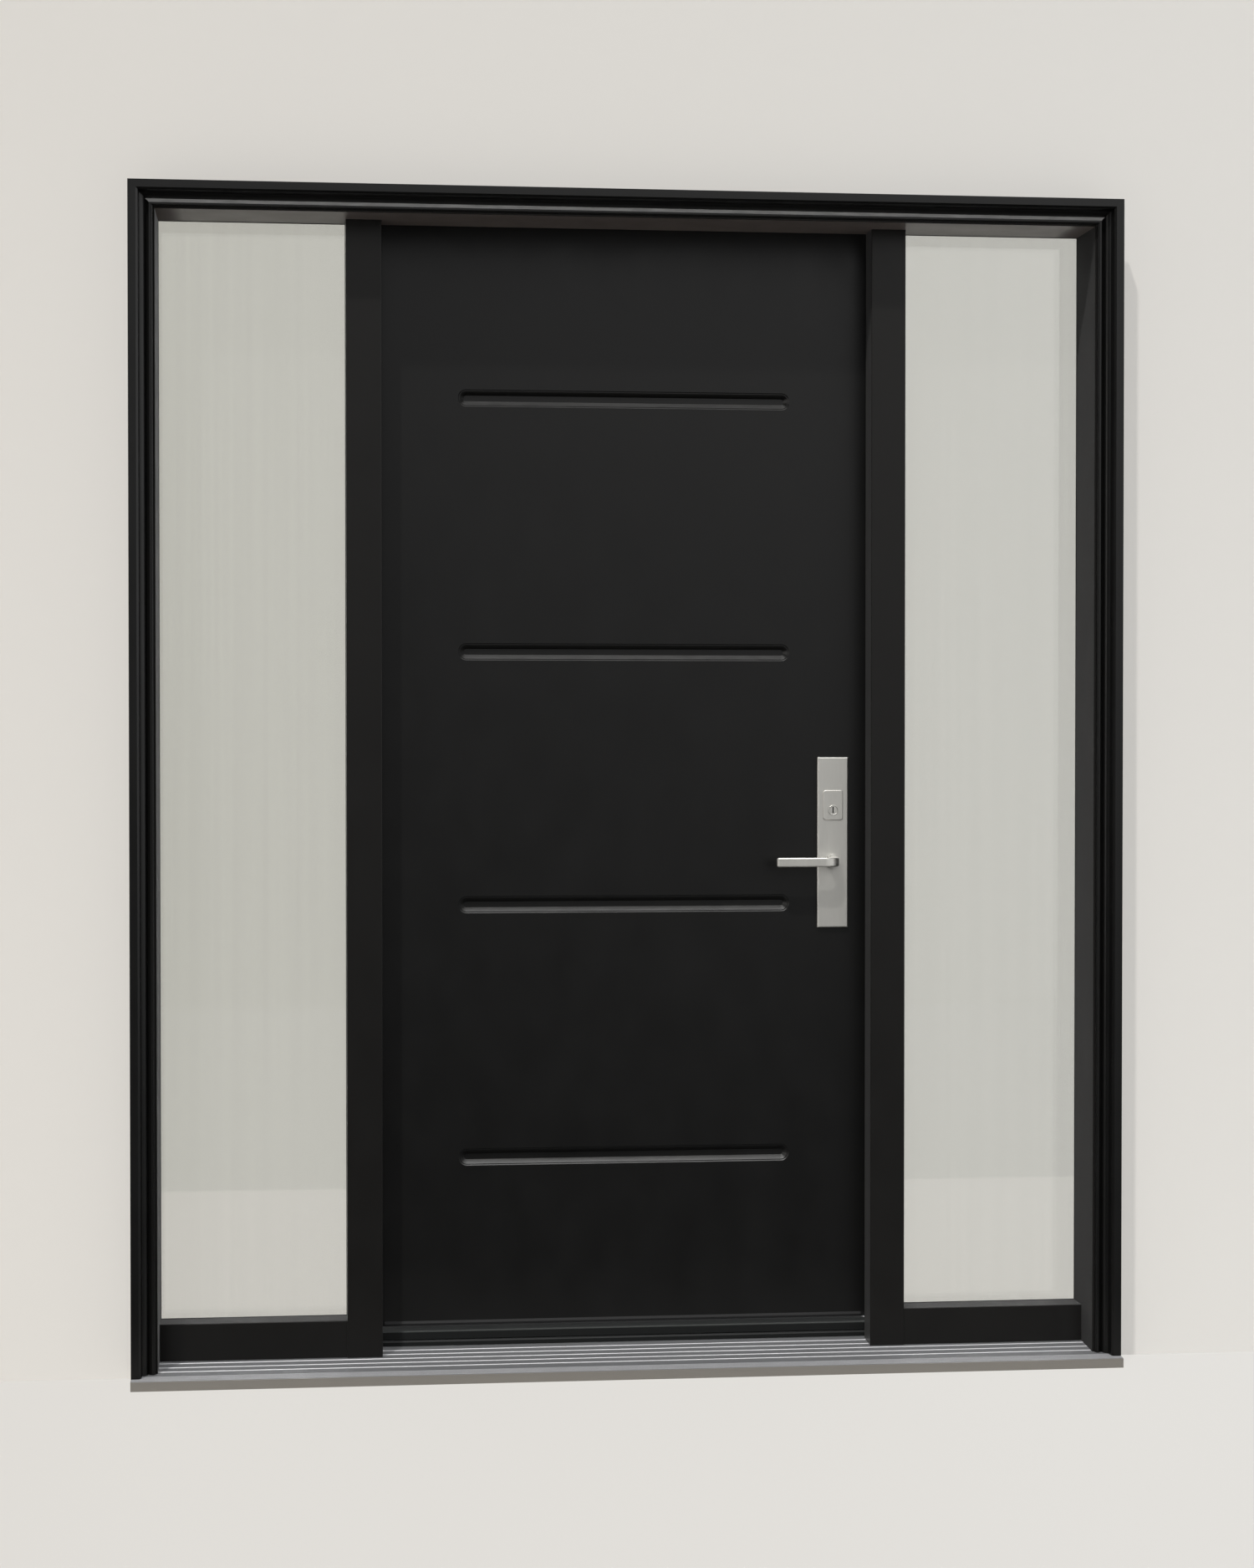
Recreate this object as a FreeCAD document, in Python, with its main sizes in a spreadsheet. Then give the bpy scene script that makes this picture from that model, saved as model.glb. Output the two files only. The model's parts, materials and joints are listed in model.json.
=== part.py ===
"""Front entrance: a grooved inswing door between two fixed sidelights in one rabbeted frame on a ribbed sill.

Millimetres. X runs to the right seen from outside, Y into the building, Z up. The origin is the middle of the
sill's underside in the wall plane, where the casing's back meets the jambs' front edges.
"""
import FreeCAD, Part
import os

import Sketcher

SIZES = {
    # Frame
    "overall_width": 1782,
    "opening_height": 2073.2,
    "jamb_depth": 184.15,
    "jamb_thickness": 31.75,
    "eased_edge": 1.5,
    "stop_depth": 127,
    "rabbet": 15,
    "door_opening": 894,
    "mullion_width": 63.5,
    "mullion_front": 72.8,
    "rail_front": 75.6,
    "rail_top": 92.4,
    # Moulded casing round the outside
    "casing_width": 41.5,
    "casing_thickness": 31.75,
    "reveal": 3.7,
    "band_width": 13.8,
    "band_edge": 3.7,
    "band_edge_depth": 2.6,
    "cove_lean": 2,
    "cove_wall_depth": 18,
    "cove_radius": 11.5,
    "valley_floor": 3.45,
    "bead_rise": 6.6,
    "bead_width": 5.9,
    "bead_depth": 23.6,
    "bead_radius": 2.5,
    # Sloping sill and its ribs
    "nose_reach": 47.6,
    "nose_height": 17.5,
    "deck_slope": 0.066,
    "deck_skin": 3,
    "rib_height": 1,
    "rib_root": 1.5,
    "fine_rib_inset": 3.6,
    "fine_rib_pitch": 5,
    "fine_rib_width": 2.4,
    "coarse_rib_inset": 58.4,
    "coarse_rib_pitch": 26.1,
    "coarse_rib_width": 4,
    # Threshold under the door
    "threshold_front": 139.5,
    "threshold_ledge": 39.6,
    "threshold_recess": 6,
    "ledge_chamfer": 2.6,
    "cap_gap": 2.7,
    "cap_face": 13.9,
    "cap_rise": 6,
    "cap_shoulder": 11.7,
    "cap_setback": 1,
    # Door slab
    "slab_thickness": 44.45,
    "seal_gap": 12.7,
    "edge_gap": 5,
    "lock_bevel": 2.4,
    "skin_thickness": 12,
    "hinge_stile_width": 38,
    "lock_stile_width": 120,
    "door_rail_height": 38,
    "groove_side_margin": 151,
    "groove_height": 31.4,
    "groove_floor": 10.4,
    "groove_depth": 9,
    "groove_rim": 1.6,
    "groove_step": 1.4,
    "groove_floor_corner": 4.2,
    "groove_top_margin": 319.3,
    "groove_bottom_margin": 299.4,
    # Weatherstrip and sweep
    "seal_width": 10,
    "seal_clearance": 5,
    "sweep_clearance": 5.5,
    "sweep_height": 8.3,
    "sweep_lip": 2.5,
    "sweep_lip_height": 4,
    "sweep_fin": 4,
    "sweep_inset": 3,
    # Sidelight glazing
    "pane_thickness": 4,
    "glass_cavity": 14,
    "glass_edge_gap": 3,
    "spacer_width": 7,
    "glazing_bead_width": 7,
    "glazing_bead_depth": 9,
    "glazing_bead_slope": 3,
    # Lock set
    "lever_height": 915,
    "backset": 70,
    "plate_width": 57,
    "plate_height": 315,
    "plate_below_lever": 122.5,
    "plate_thickness": 8,
    "plate_edge": 1.8,
    "key_above_lever": 95,
    "cover_width": 37,
    "cover_height": 55,
    "cover_above_key": 9,
    "cover_thickness": 2.5,
    "cover_corner": 5,
    "cover_edge": 1,
    "key_rim_radius": 10,
    "key_rim_height": 0.8,
    "plug_radius": 7.7,
    "key_slot_height": 12,
    "key_slot_width": 2.4,
    "key_slot_depth": 6,
    "tailpiece_radius": 3,
    "turn_radius": 15,
    "turn_base": 5,
    "turn_grip_length": 26,
    "turn_grip_width": 8,
    "turn_grip_reach": 18,
    "turn_grip_round": 3.2,
    "lever_reach": 111,
    "lever_bar_height": 16.5,
    "lever_bar_thickness": 12,
    "lever_standoff": 48,
    "lever_bend_radius": 30,
    "lever_neck": 16,
    "lever_edge": 1.8,
    "collar_radius": 13,
    "collar_length": 9,
    "spindle_radius": 4,
    "pin_clearance": 0.08,
    "lock_bore_radius": 12,
    "faceplate_width": 20,
    "faceplate_height": 215,
    "faceplate_thickness": 3,
    "latch_width": 13,
    "latch_height": 24,
    "bolt_height": 32,
    "bolt_length": 20,
    "bolt_clearance": 0.3,
    "keep_clearance": 2,
    # Butt hinges
    "leaf_height": 100,
    "leaf_width": 32,
    "leaf_thickness": 2.5,
    "knuckle_gap": 0.4,
    "pin_radius": 3,
    "pin_standoff": 5.85,
    "leaf_corner": 8,
    "hinge_from_top": 228,
    "hinge_from_bottom": 304,
}
GROOVE_COUNT = 4
FINE_RIB_COUNT = 6
COARSE_RIB_COUNT = 5
KNUCKLE_COUNT = 3
TOUCH = 1e-6

doc = FreeCAD.newDocument("entrance")
sheet = doc.addObject("Spreadsheet::Sheet", "Sheet")
for row, (alias, size) in enumerate(SIZES.items(), start=1):
    sheet.set(f"A{row}", alias)
    sheet.set(f"B{row}", str(size))
    sheet.setAlias(f"B{row}", alias)
doc.recompute()

# Places that several pieces share, as expressions of the sheet
HALF = "(Sheet.overall_width / 2)"
JAMB_FACE = f"({HALF} - Sheet.casing_width - Sheet.reveal)"
JAMB_BACK = f"({JAMB_FACE} + Sheet.jamb_thickness)"
JAMB_RABBET = f"({JAMB_FACE} + Sheet.rabbet)"
SOFFIT = "Sheet.opening_height"
HEAD_RABBET = f"({SOFFIT} + Sheet.rabbet)"
HEAD_TOP = f"({SOFFIT} + Sheet.jamb_thickness)"
CASING_TOP = f"({SOFFIT} + Sheet.reveal + Sheet.casing_width)"
DOOR_SIDE = "(Sheet.door_opening / 2)"
DOOR_RABBET = f"({DOOR_SIDE} + Sheet.rabbet)"
GLASS_SIDE = f"({DOOR_SIDE} + Sheet.mullion_width)"
GLASS_RABBET = f"({GLASS_SIDE} - Sheet.rabbet)"
RAIL_RABBET = "(Sheet.rail_top - Sheet.rabbet)"
STOP = "Sheet.stop_depth"
BACK = "Sheet.jamb_depth"
SLAB_FRONT = f"({STOP} + Sheet.seal_gap)"
SLAB_BACK = f"({SLAB_FRONT} + Sheet.slab_thickness)"
SLAB_HALF = f"({DOOR_RABBET} - Sheet.edge_gap)"
SLAB_TOP = f"({HEAD_RABBET} - Sheet.edge_gap)"
CAP_SEAT = "(Sheet.threshold_ledge + Sheet.cap_gap)"
CAP_FACE_TOP = f"({CAP_SEAT} + Sheet.cap_face)"
CAP_TOP = f"({CAP_FACE_TOP} + Sheet.cap_rise)"
SWEEP_BOTTOM = f"({CAP_TOP} + Sheet.sweep_clearance)"
SLAB_BOTTOM = f"({SWEEP_BOTTOM} + Sheet.sweep_height)"
CORE_FRONT = f"({SLAB_FRONT} + Sheet.skin_thickness)"
CORE_BACK = f"({SLAB_BACK} - Sheet.skin_thickness)"
SEAL_BACK = f"({SLAB_FRONT} - Sheet.seal_clearance)"
LOCK_X = f"({SLAB_HALF} - Sheet.backset)"
LEVER_Z = "Sheet.lever_height"
KEY_Z = "(Sheet.lever_height + Sheet.key_above_lever)"
SLAB_MIDDLE = f"(({SLAB_FRONT} + {SLAB_BACK}) / 2)"
PLATE_BOTTOM = f"({LEVER_Z} - Sheet.plate_below_lever)"
COVER_Z = f"({KEY_Z} + Sheet.cover_above_key)"
UPPER_HINGE = f"({SLAB_TOP} - Sheet.hinge_from_top)"
LOWER_HINGE = f"({SLAB_BOTTOM} + Sheet.hinge_from_bottom)"
HINGE_X = f"(-1 * ({SLAB_HALF} + Sheet.edge_gap / 2))"
HINGE_Y = f"({BACK} + Sheet.pin_standoff)"
KNUCKLE_RADIUS = "(Sheet.edge_gap / 2 + Sheet.leaf_thickness)"
NOSE = "(-1 * Sheet.nose_reach)"
EXTERIOR, INTERIOR = -1, 1


def foot(depth, below="0"):
    """Height of the plane through the rib crests, on which the frame's feet stand, at a depth along Y."""
    return f"(Sheet.nose_height + Sheet.deck_slope * ({depth} + Sheet.nose_reach) - {below})"


def lock_edge(depth):
    """X of the door's bevelled lock edge at a depth along Y."""
    return f"({SLAB_HALF} - Sheet.lock_bevel * ({SLAB_BACK} - {depth}) / Sheet.slab_thickness)"


def off_slab(face, reach):
    """Y at a distance out from the slab's exterior or interior face."""
    return f"({SLAB_FRONT if face == EXTERIOR else SLAB_BACK} + {face} * ({reach}))"


def value(expression):
    """Number that an expression of the sheet has now."""
    return float(sheet.evalExpression(expression))


def new_body(label):
    """An empty body whose label names the sub-part."""
    body = doc.addObject("PartDesign::Body", label)
    body.Label = label
    return body


def new_sketch(body, role, offset):
    """A sketch on one of the body's origin planes, moved along the plane's normal."""
    sketch = body.newObject("Sketcher::SketchObject", f"{body.Name}_outline")
    plane = next(feature for feature in body.Origin.OriginFeatures if feature.Role == role)
    sketch.AttachmentSupport = [(plane, "")]
    sketch.MapMode = "FlatFace"
    sketch.setExpression("AttachmentOffset.Base.z", offset)
    return sketch


def bind(sketch, kind, geometry, point, expression):
    """Dimensions a point of the sketch from the origin along one axis."""
    constraint = Sketcher.Constraint(kind, -1, 1, geometry, point, value(expression))
    index = sketch.addConstraint(constraint)
    sketch.setExpression(f"Constraints[{index}]", expression)


def arc_between(start, end, radius, turn):
    """The shorter arc from start to end: turn 1 goes anticlockwise, -1 clockwise."""
    chord = end - start
    middle = (start + end) * 0.5
    rise = max(radius**2 - (chord.Length / 2) ** 2, 0) ** 0.5
    normal = FreeCAD.Vector(-chord.y, chord.x, 0).normalize()
    circle = Part.Circle(middle + normal * rise * turn, FreeCAD.Vector(0, 0, 1), radius)
    first, last = (start, end) if turn > 0 else (end, start)
    return Part.ArcOfCircle(circle, circle.parameter(first), circle.parameter(last))


def outline(sketch, points):
    """Adds a closed outline.

    A point is (x, y), with a straight edge to the next one, or (x, y, radius, turn), with an arc to it.
    """
    places = [FreeCAD.Vector(value(point[0]), value(point[1]), 0) for point in points]
    ends = []
    for index, point in enumerate(points):
        start, end = places[index], places[(index + 1) % len(points)]
        if len(point) == 2:
            edge = sketch.addGeometry(Part.LineSegment(start, end))
            ends.append((edge, 1, 2))
            continue
        radius, turn = point[2:]
        edge = sketch.addGeometry(arc_between(start, end, value(radius), turn))
        ends.append((edge, 1, 2) if turn > 0 else (edge, 2, 1))
        index = sketch.addConstraint(Sketcher.Constraint("Radius", edge, value(radius)))
        sketch.setExpression(f"Constraints[{index}]", radius)
    for index, (edge, _, last) in enumerate(ends):
        following, first, _ = ends[(index + 1) % len(ends)]
        sketch.addConstraint(Sketcher.Constraint("Coincident", edge, last, following, first))
    for point, (edge, first, _) in zip(points, ends):
        bind(sketch, "DistanceX", edge, first, point[0])
        bind(sketch, "DistanceY", edge, first, point[1])


def round_outline(sketch, across, up, radius):
    """Adds a circle."""
    centre = FreeCAD.Vector(value(across), value(up), 0)
    edge = sketch.addGeometry(Part.Circle(centre, FreeCAD.Vector(0, 0, 1), value(radius)))
    index = sketch.addConstraint(Sketcher.Constraint("Radius", edge, value(radius)))
    sketch.setExpression(f"Constraints[{index}]", radius)
    bind(sketch, "DistanceX", edge, 3, across)
    bind(sketch, "DistanceY", edge, 3, up)


def rectangle(left, right, low, high):
    """Corner points of a rectangle."""
    return [(left, low), (right, low), (right, high), (left, high)]


def rounded_box(across, up, half_width, half_height, radius):
    """Outline of a rectangle with rounded corners, from its middle outwards."""
    left, right = f"({across} - {half_width})", f"({across} + {half_width})"
    low, high = f"({up} - {half_height})", f"({up} + {half_height})"
    return [
        (f"({left} + {radius})", low),
        (f"({right} - {radius})", low, radius, 1),
        (right, f"({low} + {radius})"),
        (right, f"({high} - {radius})", radius, 1),
        (f"({right} - {radius})", high),
        (f"({left} + {radius})", high, radius, 1),
        (left, f"({high} - {radius})"),
        (left, f"({low} + {radius})", radius, 1),
    ]


def swapped(points):
    """Outline with its two coordinates exchanged."""
    return [(point[1], point[0], *point[2:]) for point in points]


def extrude(body, feature, role, outlines, start, end):
    """Pads or pockets outlines on an origin plane from start to end along the axis that the plane leaves."""
    facing_back = role == "XZ_Plane"
    sketch = new_sketch(body, role, f"-1 * ({end})" if facing_back else start)
    for shape in outlines:
        if isinstance(shape, tuple):
            round_outline(sketch, *shape)
        else:
            outline(sketch, shape)
    made = body.newObject(f"PartDesign::{feature}", f"{body.Name}_{feature.lower()}")
    made.Profile = sketch
    made.setExpression("Length", f"({end}) - ({start})")
    made.Reversed = feature == "Pocket"
    sketch.Visibility = False
    return made


def pad(body, role, outlines, start, end):
    """Adds a straight solid."""
    return extrude(body, "Pad", role, outlines, start, end)


def pocket(body, role, outlines, start, end):
    """Removes a straight solid."""
    return extrude(body, "Pocket", role, outlines, start, end)


def sink(body, shape, face, below, depth, run):
    """Pockets a shape from a level below a slab face, with flanks that close in by run over the depth."""
    level = off_slab(face, f"-1 * ({below})")
    sketch = new_sketch(body, "XZ_Plane", f"-1 * {level}")
    outline(sketch, shape)
    made = body.newObject("PartDesign::Pocket", f"{body.Name}_pocket")
    made.Profile = sketch
    made.setExpression("Length", depth)
    made.setExpression("TaperAngle", f"-1 * atan(({run}) / ({depth}))")
    made.Reversed = face == INTERIOR
    sketch.Visibility = False
    return made


def dress(body, kind, size, chosen):
    """Fillets or chamfers the edges that a test picks from the body as it stands."""
    doc.recompute()
    base = body.Tip
    names = [f"Edge{number}" for number, edge in enumerate(base.Shape.Edges, start=1) if chosen(edge)]
    made = body.newObject(f"PartDesign::{kind}", f"{body.Name}_{kind.lower()}")
    made.Base = (base, names)
    made.setExpression("Radius" if kind == "Fillet" else "Size", size)
    return made


def ease_edges(body, *places):
    """Rounds the edges at the given places, each an (x, y, z) of expressions with None along the edge."""
    spots = [[None if part is None else value(part) for part in place] for place in places]

    def runs_through(edge, spot):
        ends = [vertex.Point for vertex in edge.Vertexes]
        fixed = [(axis, part) for axis, part in enumerate(spot) if part is not None]
        return all(abs(end[axis] - part) < TOUCH for axis, part in fixed for end in ends)

    def on_spot(edge):
        return any(runs_through(edge, spot) for spot in spots)

    return dress(body, "Fillet", "Sheet.eased_edge", on_spot)


def stand_on_sill(body):
    """Cuts a piece's foot to the slope of the deck."""
    reach = f"({BACK} + Sheet.nose_reach)"
    under = "(-1 * Sheet.nose_height)"
    wedge = [(NOSE, under), (reach, under), (reach, foot(reach)), (NOSE, foot(NOSE))]
    pocket(body, "YZ_Plane", [wedge], f"-1 * {HALF}", HALF)


def side_span(side, near, far):
    """Lower and upper X of a span given outwards from the middle, on the left (-1) or right (1)."""
    low, high = (near, far) if side > 0 else (far, near)
    return f"({side} * {low})", f"({side} * {high})"


def build_sill():
    """Substrate and ribbed metal deck across the whole width."""
    across = (f"-1 * {HALF}", HALF)
    inner_nose = f"({NOSE} + Sheet.deck_skin)"
    under = "(Sheet.rib_height + Sheet.deck_skin)"
    core = new_body("sill_core")
    core_section = [
        (inner_nose, "0"),
        (BACK, "0"),
        (BACK, foot(BACK, under)),
        (inner_nose, foot(inner_nose, under)),
    ]
    pad(core, "YZ_Plane", [core_section], *across)

    deck = new_body("sill_deck")
    deck_section = [
        (NOSE, "0"),
        (inner_nose, "0"),
        (inner_nose, foot(inner_nose, under)),
        (BACK, foot(BACK, under)),
        (BACK, foot(BACK, "Sheet.rib_height")),
        (NOSE, foot(NOSE, "Sheet.rib_height")),
    ]
    pad(deck, "YZ_Plane", [deck_section], *across)
    ribs = []
    for name, count in (("fine_rib", FINE_RIB_COUNT), ("coarse_rib", COARSE_RIB_COUNT)):
        for number in range(count):
            middle = f"({NOSE} + Sheet.{name}_inset + {number} * Sheet.{name}_pitch)"
            left, right = (f"({middle} {sign} Sheet.{name}_width / 2)" for sign in "-+")
            crest_left, crest_right = (f"({middle} {sign} Sheet.{name}_width / 4)" for sign in "-+")
            root = [(side, foot(side, "Sheet.rib_root")) for side in (left, right)]
            crest = [(side, foot(side)) for side in (crest_right, crest_left)]
            ribs.append(root + crest)
    pad(deck, "YZ_Plane", ribs, *across)


def build_threshold():
    """Base and adjustable cap between the mullions, under the door."""
    across = (f"-1 * {DOOR_RABBET}", DOOR_RABBET)
    front, ledge = "Sheet.threshold_front", "Sheet.threshold_ledge"
    riser_front = f"({front} + Sheet.threshold_recess)"
    riser_back = f"({BACK} - Sheet.threshold_recess)"
    base = new_body("threshold_base")
    base_section = [
        (front, foot(front)),
        (BACK, foot(BACK)),
        (BACK, ledge),
        (riser_back, ledge),
        (riser_back, CAP_SEAT),
        (riser_front, CAP_SEAT),
        (riser_front, ledge),
        (f"({front} + Sheet.ledge_chamfer)", ledge),
        (front, f"({ledge} - Sheet.ledge_chamfer)"),
    ]
    pad(base, "YZ_Plane", [base_section], *across)

    cap_front = f"({front} + Sheet.cap_setback)"
    cap_back = f"({BACK} - Sheet.cap_setback)"
    cap = new_body("threshold_cap")
    cap_section = [
        (cap_front, CAP_SEAT),
        (cap_back, CAP_SEAT),
        (cap_back, CAP_FACE_TOP),
        (f"({cap_back} - Sheet.cap_shoulder)", CAP_TOP),
        (f"({cap_front} + Sheet.cap_shoulder)", CAP_TOP),
        (cap_front, CAP_FACE_TOP),
    ]
    pad(cap, "YZ_Plane", [cap_section], *across)


def build_jamb(name, side):
    """Side jamb: thick towards the outside, rabbeted behind the stop."""
    jamb = new_body(name)
    face, rabbet, back = (f"({side} * {place})" for place in (JAMB_FACE, JAMB_RABBET, JAMB_BACK))
    section = [(back, "0"), (face, "0"), (face, STOP), (rabbet, STOP), (rabbet, BACK), (back, BACK)]
    pad(jamb, "XY_Plane", [section], "0", HEAD_TOP)
    ease_edges(jamb, (face, "0", None))
    stand_on_sill(jamb)


def build_head():
    """Head jamb between the side jambs, with the same rabbet."""
    head = new_body("head_jamb")
    front = [("0", SOFFIT), (STOP, SOFFIT), (STOP, HEAD_TOP), ("0", HEAD_TOP)]
    pad(head, "YZ_Plane", [front], f"-1 * {JAMB_FACE}", JAMB_FACE)
    back = [(STOP, HEAD_RABBET), (BACK, HEAD_RABBET), (BACK, HEAD_TOP), (STOP, HEAD_TOP)]
    pad(head, "YZ_Plane", [back], f"-1 * {JAMB_RABBET}", JAMB_RABBET)
    ease_edges(head, (None, "0", SOFFIT))


def build_mullion(name, side):
    """Post between door and sidelight, rabbeted on both sides behind the stop."""
    mullion = new_body(name)
    door, glass = f"({side} * {DOOR_SIDE})", f"({side} * {GLASS_SIDE})"
    door_rabbet, glass_rabbet = f"({side} * {DOOR_RABBET})", f"({side} * {GLASS_RABBET})"
    section = [
        (door, "Sheet.mullion_front"),
        (glass, "Sheet.mullion_front"),
        (glass, STOP),
        (glass_rabbet, STOP),
        (glass_rabbet, BACK),
        (door_rabbet, BACK),
        (door_rabbet, STOP),
        (door, STOP),
    ]
    pad(mullion, "XY_Plane", [section], "0", HEAD_RABBET)
    top = rectangle(*side_span(side, DOOR_SIDE, GLASS_SIDE), "Sheet.mullion_front", STOP)
    pocket(mullion, "XY_Plane", [top], SOFFIT, HEAD_RABBET)
    ease_edges(mullion, (door, "Sheet.mullion_front", None), (glass, "Sheet.mullion_front", None))
    stand_on_sill(mullion)
    return mullion


def casing_section(across, turn):
    """Moulding profile; across turns a distance in from the outer edge into a sketch coordinate.

    Args:
        across: function of a distance expression.
        turn: 1 where the sketch shows the profile running left to right with its front down, else -1.
    """

    def at(distance, depth):
        return across(distance), f"({depth} - Sheet.casing_thickness)"

    lip = "(Sheet.band_width + Sheet.band_edge)"
    crest = "(Sheet.casing_width - Sheet.bead_width)"
    return [
        (across("0"), "0"),
        at("0", "0"),
        at("Sheet.band_width", "0"),
        at(lip, "Sheet.band_edge_depth"),
        (*at(f"({lip} + Sheet.cove_lean)", "Sheet.cove_wall_depth"), "Sheet.cove_radius", turn),
        at(f"({crest} - Sheet.bead_rise)", "(Sheet.casing_thickness - Sheet.valley_floor)"),
        at(crest, "Sheet.bead_depth"),
        (*at("(Sheet.casing_width - Sheet.bead_radius)", "Sheet.bead_depth"), "Sheet.bead_radius", -turn),
        at("Sheet.casing_width", "(Sheet.bead_depth + Sheet.bead_radius)"),
        (across("Sheet.casing_width"), "0"),
    ]


def build_casing_leg(name, side):
    """Mitred upright of the casing."""
    leg = new_body(name)
    section = casing_section(lambda distance: f"({side} * ({HALF} - {distance}))", -side)
    pad(leg, "XY_Plane", [section], "0", CASING_TOP)
    outer, inner = f"({side} * {HALF})", f"({side} * ({HALF} - Sheet.casing_width))"
    mitre = [(outer, CASING_TOP), (inner, CASING_TOP), (inner, f"({CASING_TOP} - Sheet.casing_width)")]
    pocket(leg, "XZ_Plane", [mitre], "-1 * Sheet.casing_thickness", "0")
    stand_on_sill(leg)


def build_casing_head():
    """Mitred head of the casing."""
    head = new_body("head_casing")
    section = casing_section(lambda distance: f"({CASING_TOP} - {distance})", 1)
    pad(head, "YZ_Plane", [swapped(section)], f"-1 * {HALF}", HALF)
    low = f"({CASING_TOP} - Sheet.casing_width)"
    mitres = []
    for side in (-1, 1):
        outer, inner = f"({side} * {HALF})", f"({side} * ({HALF} - Sheet.casing_width))"
        mitres.append([(outer, CASING_TOP), (inner, low), (outer, low)])
    pocket(head, "XZ_Plane", mitres, "-1 * Sheet.casing_thickness", "0")


def build_sidelight(name, side):
    """Bottom rail, sealed double glazing and the inside beads that hold it."""
    rail = new_body(f"{name}_bottom_rail")
    front = rectangle(*side_span(side, GLASS_SIDE, JAMB_FACE), "Sheet.rail_front", STOP)
    back = rectangle(*side_span(side, GLASS_RABBET, JAMB_RABBET), STOP, BACK)
    pad(rail, "XY_Plane", [front], "0", "Sheet.rail_top")
    pad(rail, "XY_Plane", [back], "0", RAIL_RABBET)
    ease_edges(rail, (None, "Sheet.rail_front", "Sheet.rail_top"))
    stand_on_sill(rail)

    gap = "Sheet.glass_edge_gap"
    edges = side_span(side, f"({GLASS_RABBET} + {gap})", f"({JAMB_RABBET} - {gap})")
    sheet_edge = rectangle(*edges, f"({RAIL_RABBET} + {gap})", f"({HEAD_RABBET} - {gap})")
    outer_back = f"({STOP} + Sheet.pane_thickness)"
    inner_front = f"({outer_back} + Sheet.glass_cavity)"
    inner_back = f"({inner_front} + Sheet.pane_thickness)"
    for pane, start, end in (("outer_pane", STOP, outer_back), ("inner_pane", inner_front, inner_back)):
        pad(new_body(f"{name}_{pane}"), "XZ_Plane", [sheet_edge], start, end)
    spacer = new_body(f"{name}_glass_spacer")
    inset = f"({gap} + Sheet.spacer_width)"
    clear = side_span(side, f"({GLASS_RABBET} + {inset})", f"({JAMB_RABBET} - {inset})")
    hollow = rectangle(*clear, f"({RAIL_RABBET} + {inset})", f"({HEAD_RABBET} - {inset})")
    pad(spacer, "XZ_Plane", [sheet_edge, hollow], outer_back, inner_front)

    beads = new_body(f"{name}_glazing_beads")
    seat = rectangle(*side_span(side, GLASS_RABBET, JAMB_RABBET), RAIL_RABBET, HEAD_RABBET)
    bead = "Sheet.glazing_bead_width"
    bead_sides = [f"({GLASS_RABBET} + {bead})", f"({JAMB_RABBET} - {bead})"]
    view = rectangle(*side_span(side, *bead_sides), f"({RAIL_RABBET} + {bead})", f"({HEAD_RABBET} - {bead})")
    bead_face = f"({inner_back} + Sheet.glazing_bead_depth)"
    pad(beads, "XZ_Plane", [seat, view], inner_back, bead_face)
    face_y = value(bead_face)
    view_sides = [value(place) for place in bead_sides]

    def round_the_glass(edge):
        return all(
            abs(end.Y - face_y) < TOUCH and min(abs(abs(end.X) - place) for place in view_sides) < TOUCH
            for end in edge.Vertexes
        )

    dress(beads, "Chamfer", "Sheet.glazing_bead_slope", round_the_glass)


def seal_section(left, right, turn):
    """Outline of the weatherstrip's flat foot and round bulb between two edges."""
    radius = "(Sheet.seal_width / 2)"
    shoulder = f"({SEAL_BACK} - {radius})"
    return [
        (left, STOP),
        (right, STOP),
        (right, shoulder, radius, turn),
        (f"(({left} + {right}) / 2)", SEAL_BACK, radius, turn),
        (left, shoulder),
    ]


def build_weatherstrip():
    """Seals on the stops, round three sides of the door."""
    low = f"({HEAD_RABBET} - Sheet.seal_width)"
    inner = f"({DOOR_RABBET} - Sheet.seal_width)"
    for name, side in (("hinge_side_seal", -1), ("lock_side_seal", 1)):
        seal = new_body(name)
        section = seal_section(*side_span(side, inner, DOOR_RABBET), 1)
        pad(seal, "XY_Plane", [section], foot(SEAL_BACK), low)
    head = new_body("head_seal")
    section = swapped(seal_section(low, HEAD_RABBET, -1))
    pad(head, "YZ_Plane", [section], f"-1 * {DOOR_RABBET}", DOOR_RABBET)


def bore_lock(body, start, end):
    """Cuts the holes for the lever's spindle and the cylinder through a piece of the slab."""
    holes = [(LOCK_X, height, "Sheet.lock_bore_radius") for height in (LEVER_Z, KEY_Z)]
    pocket(body, "XZ_Plane", holes, start, end)


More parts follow.
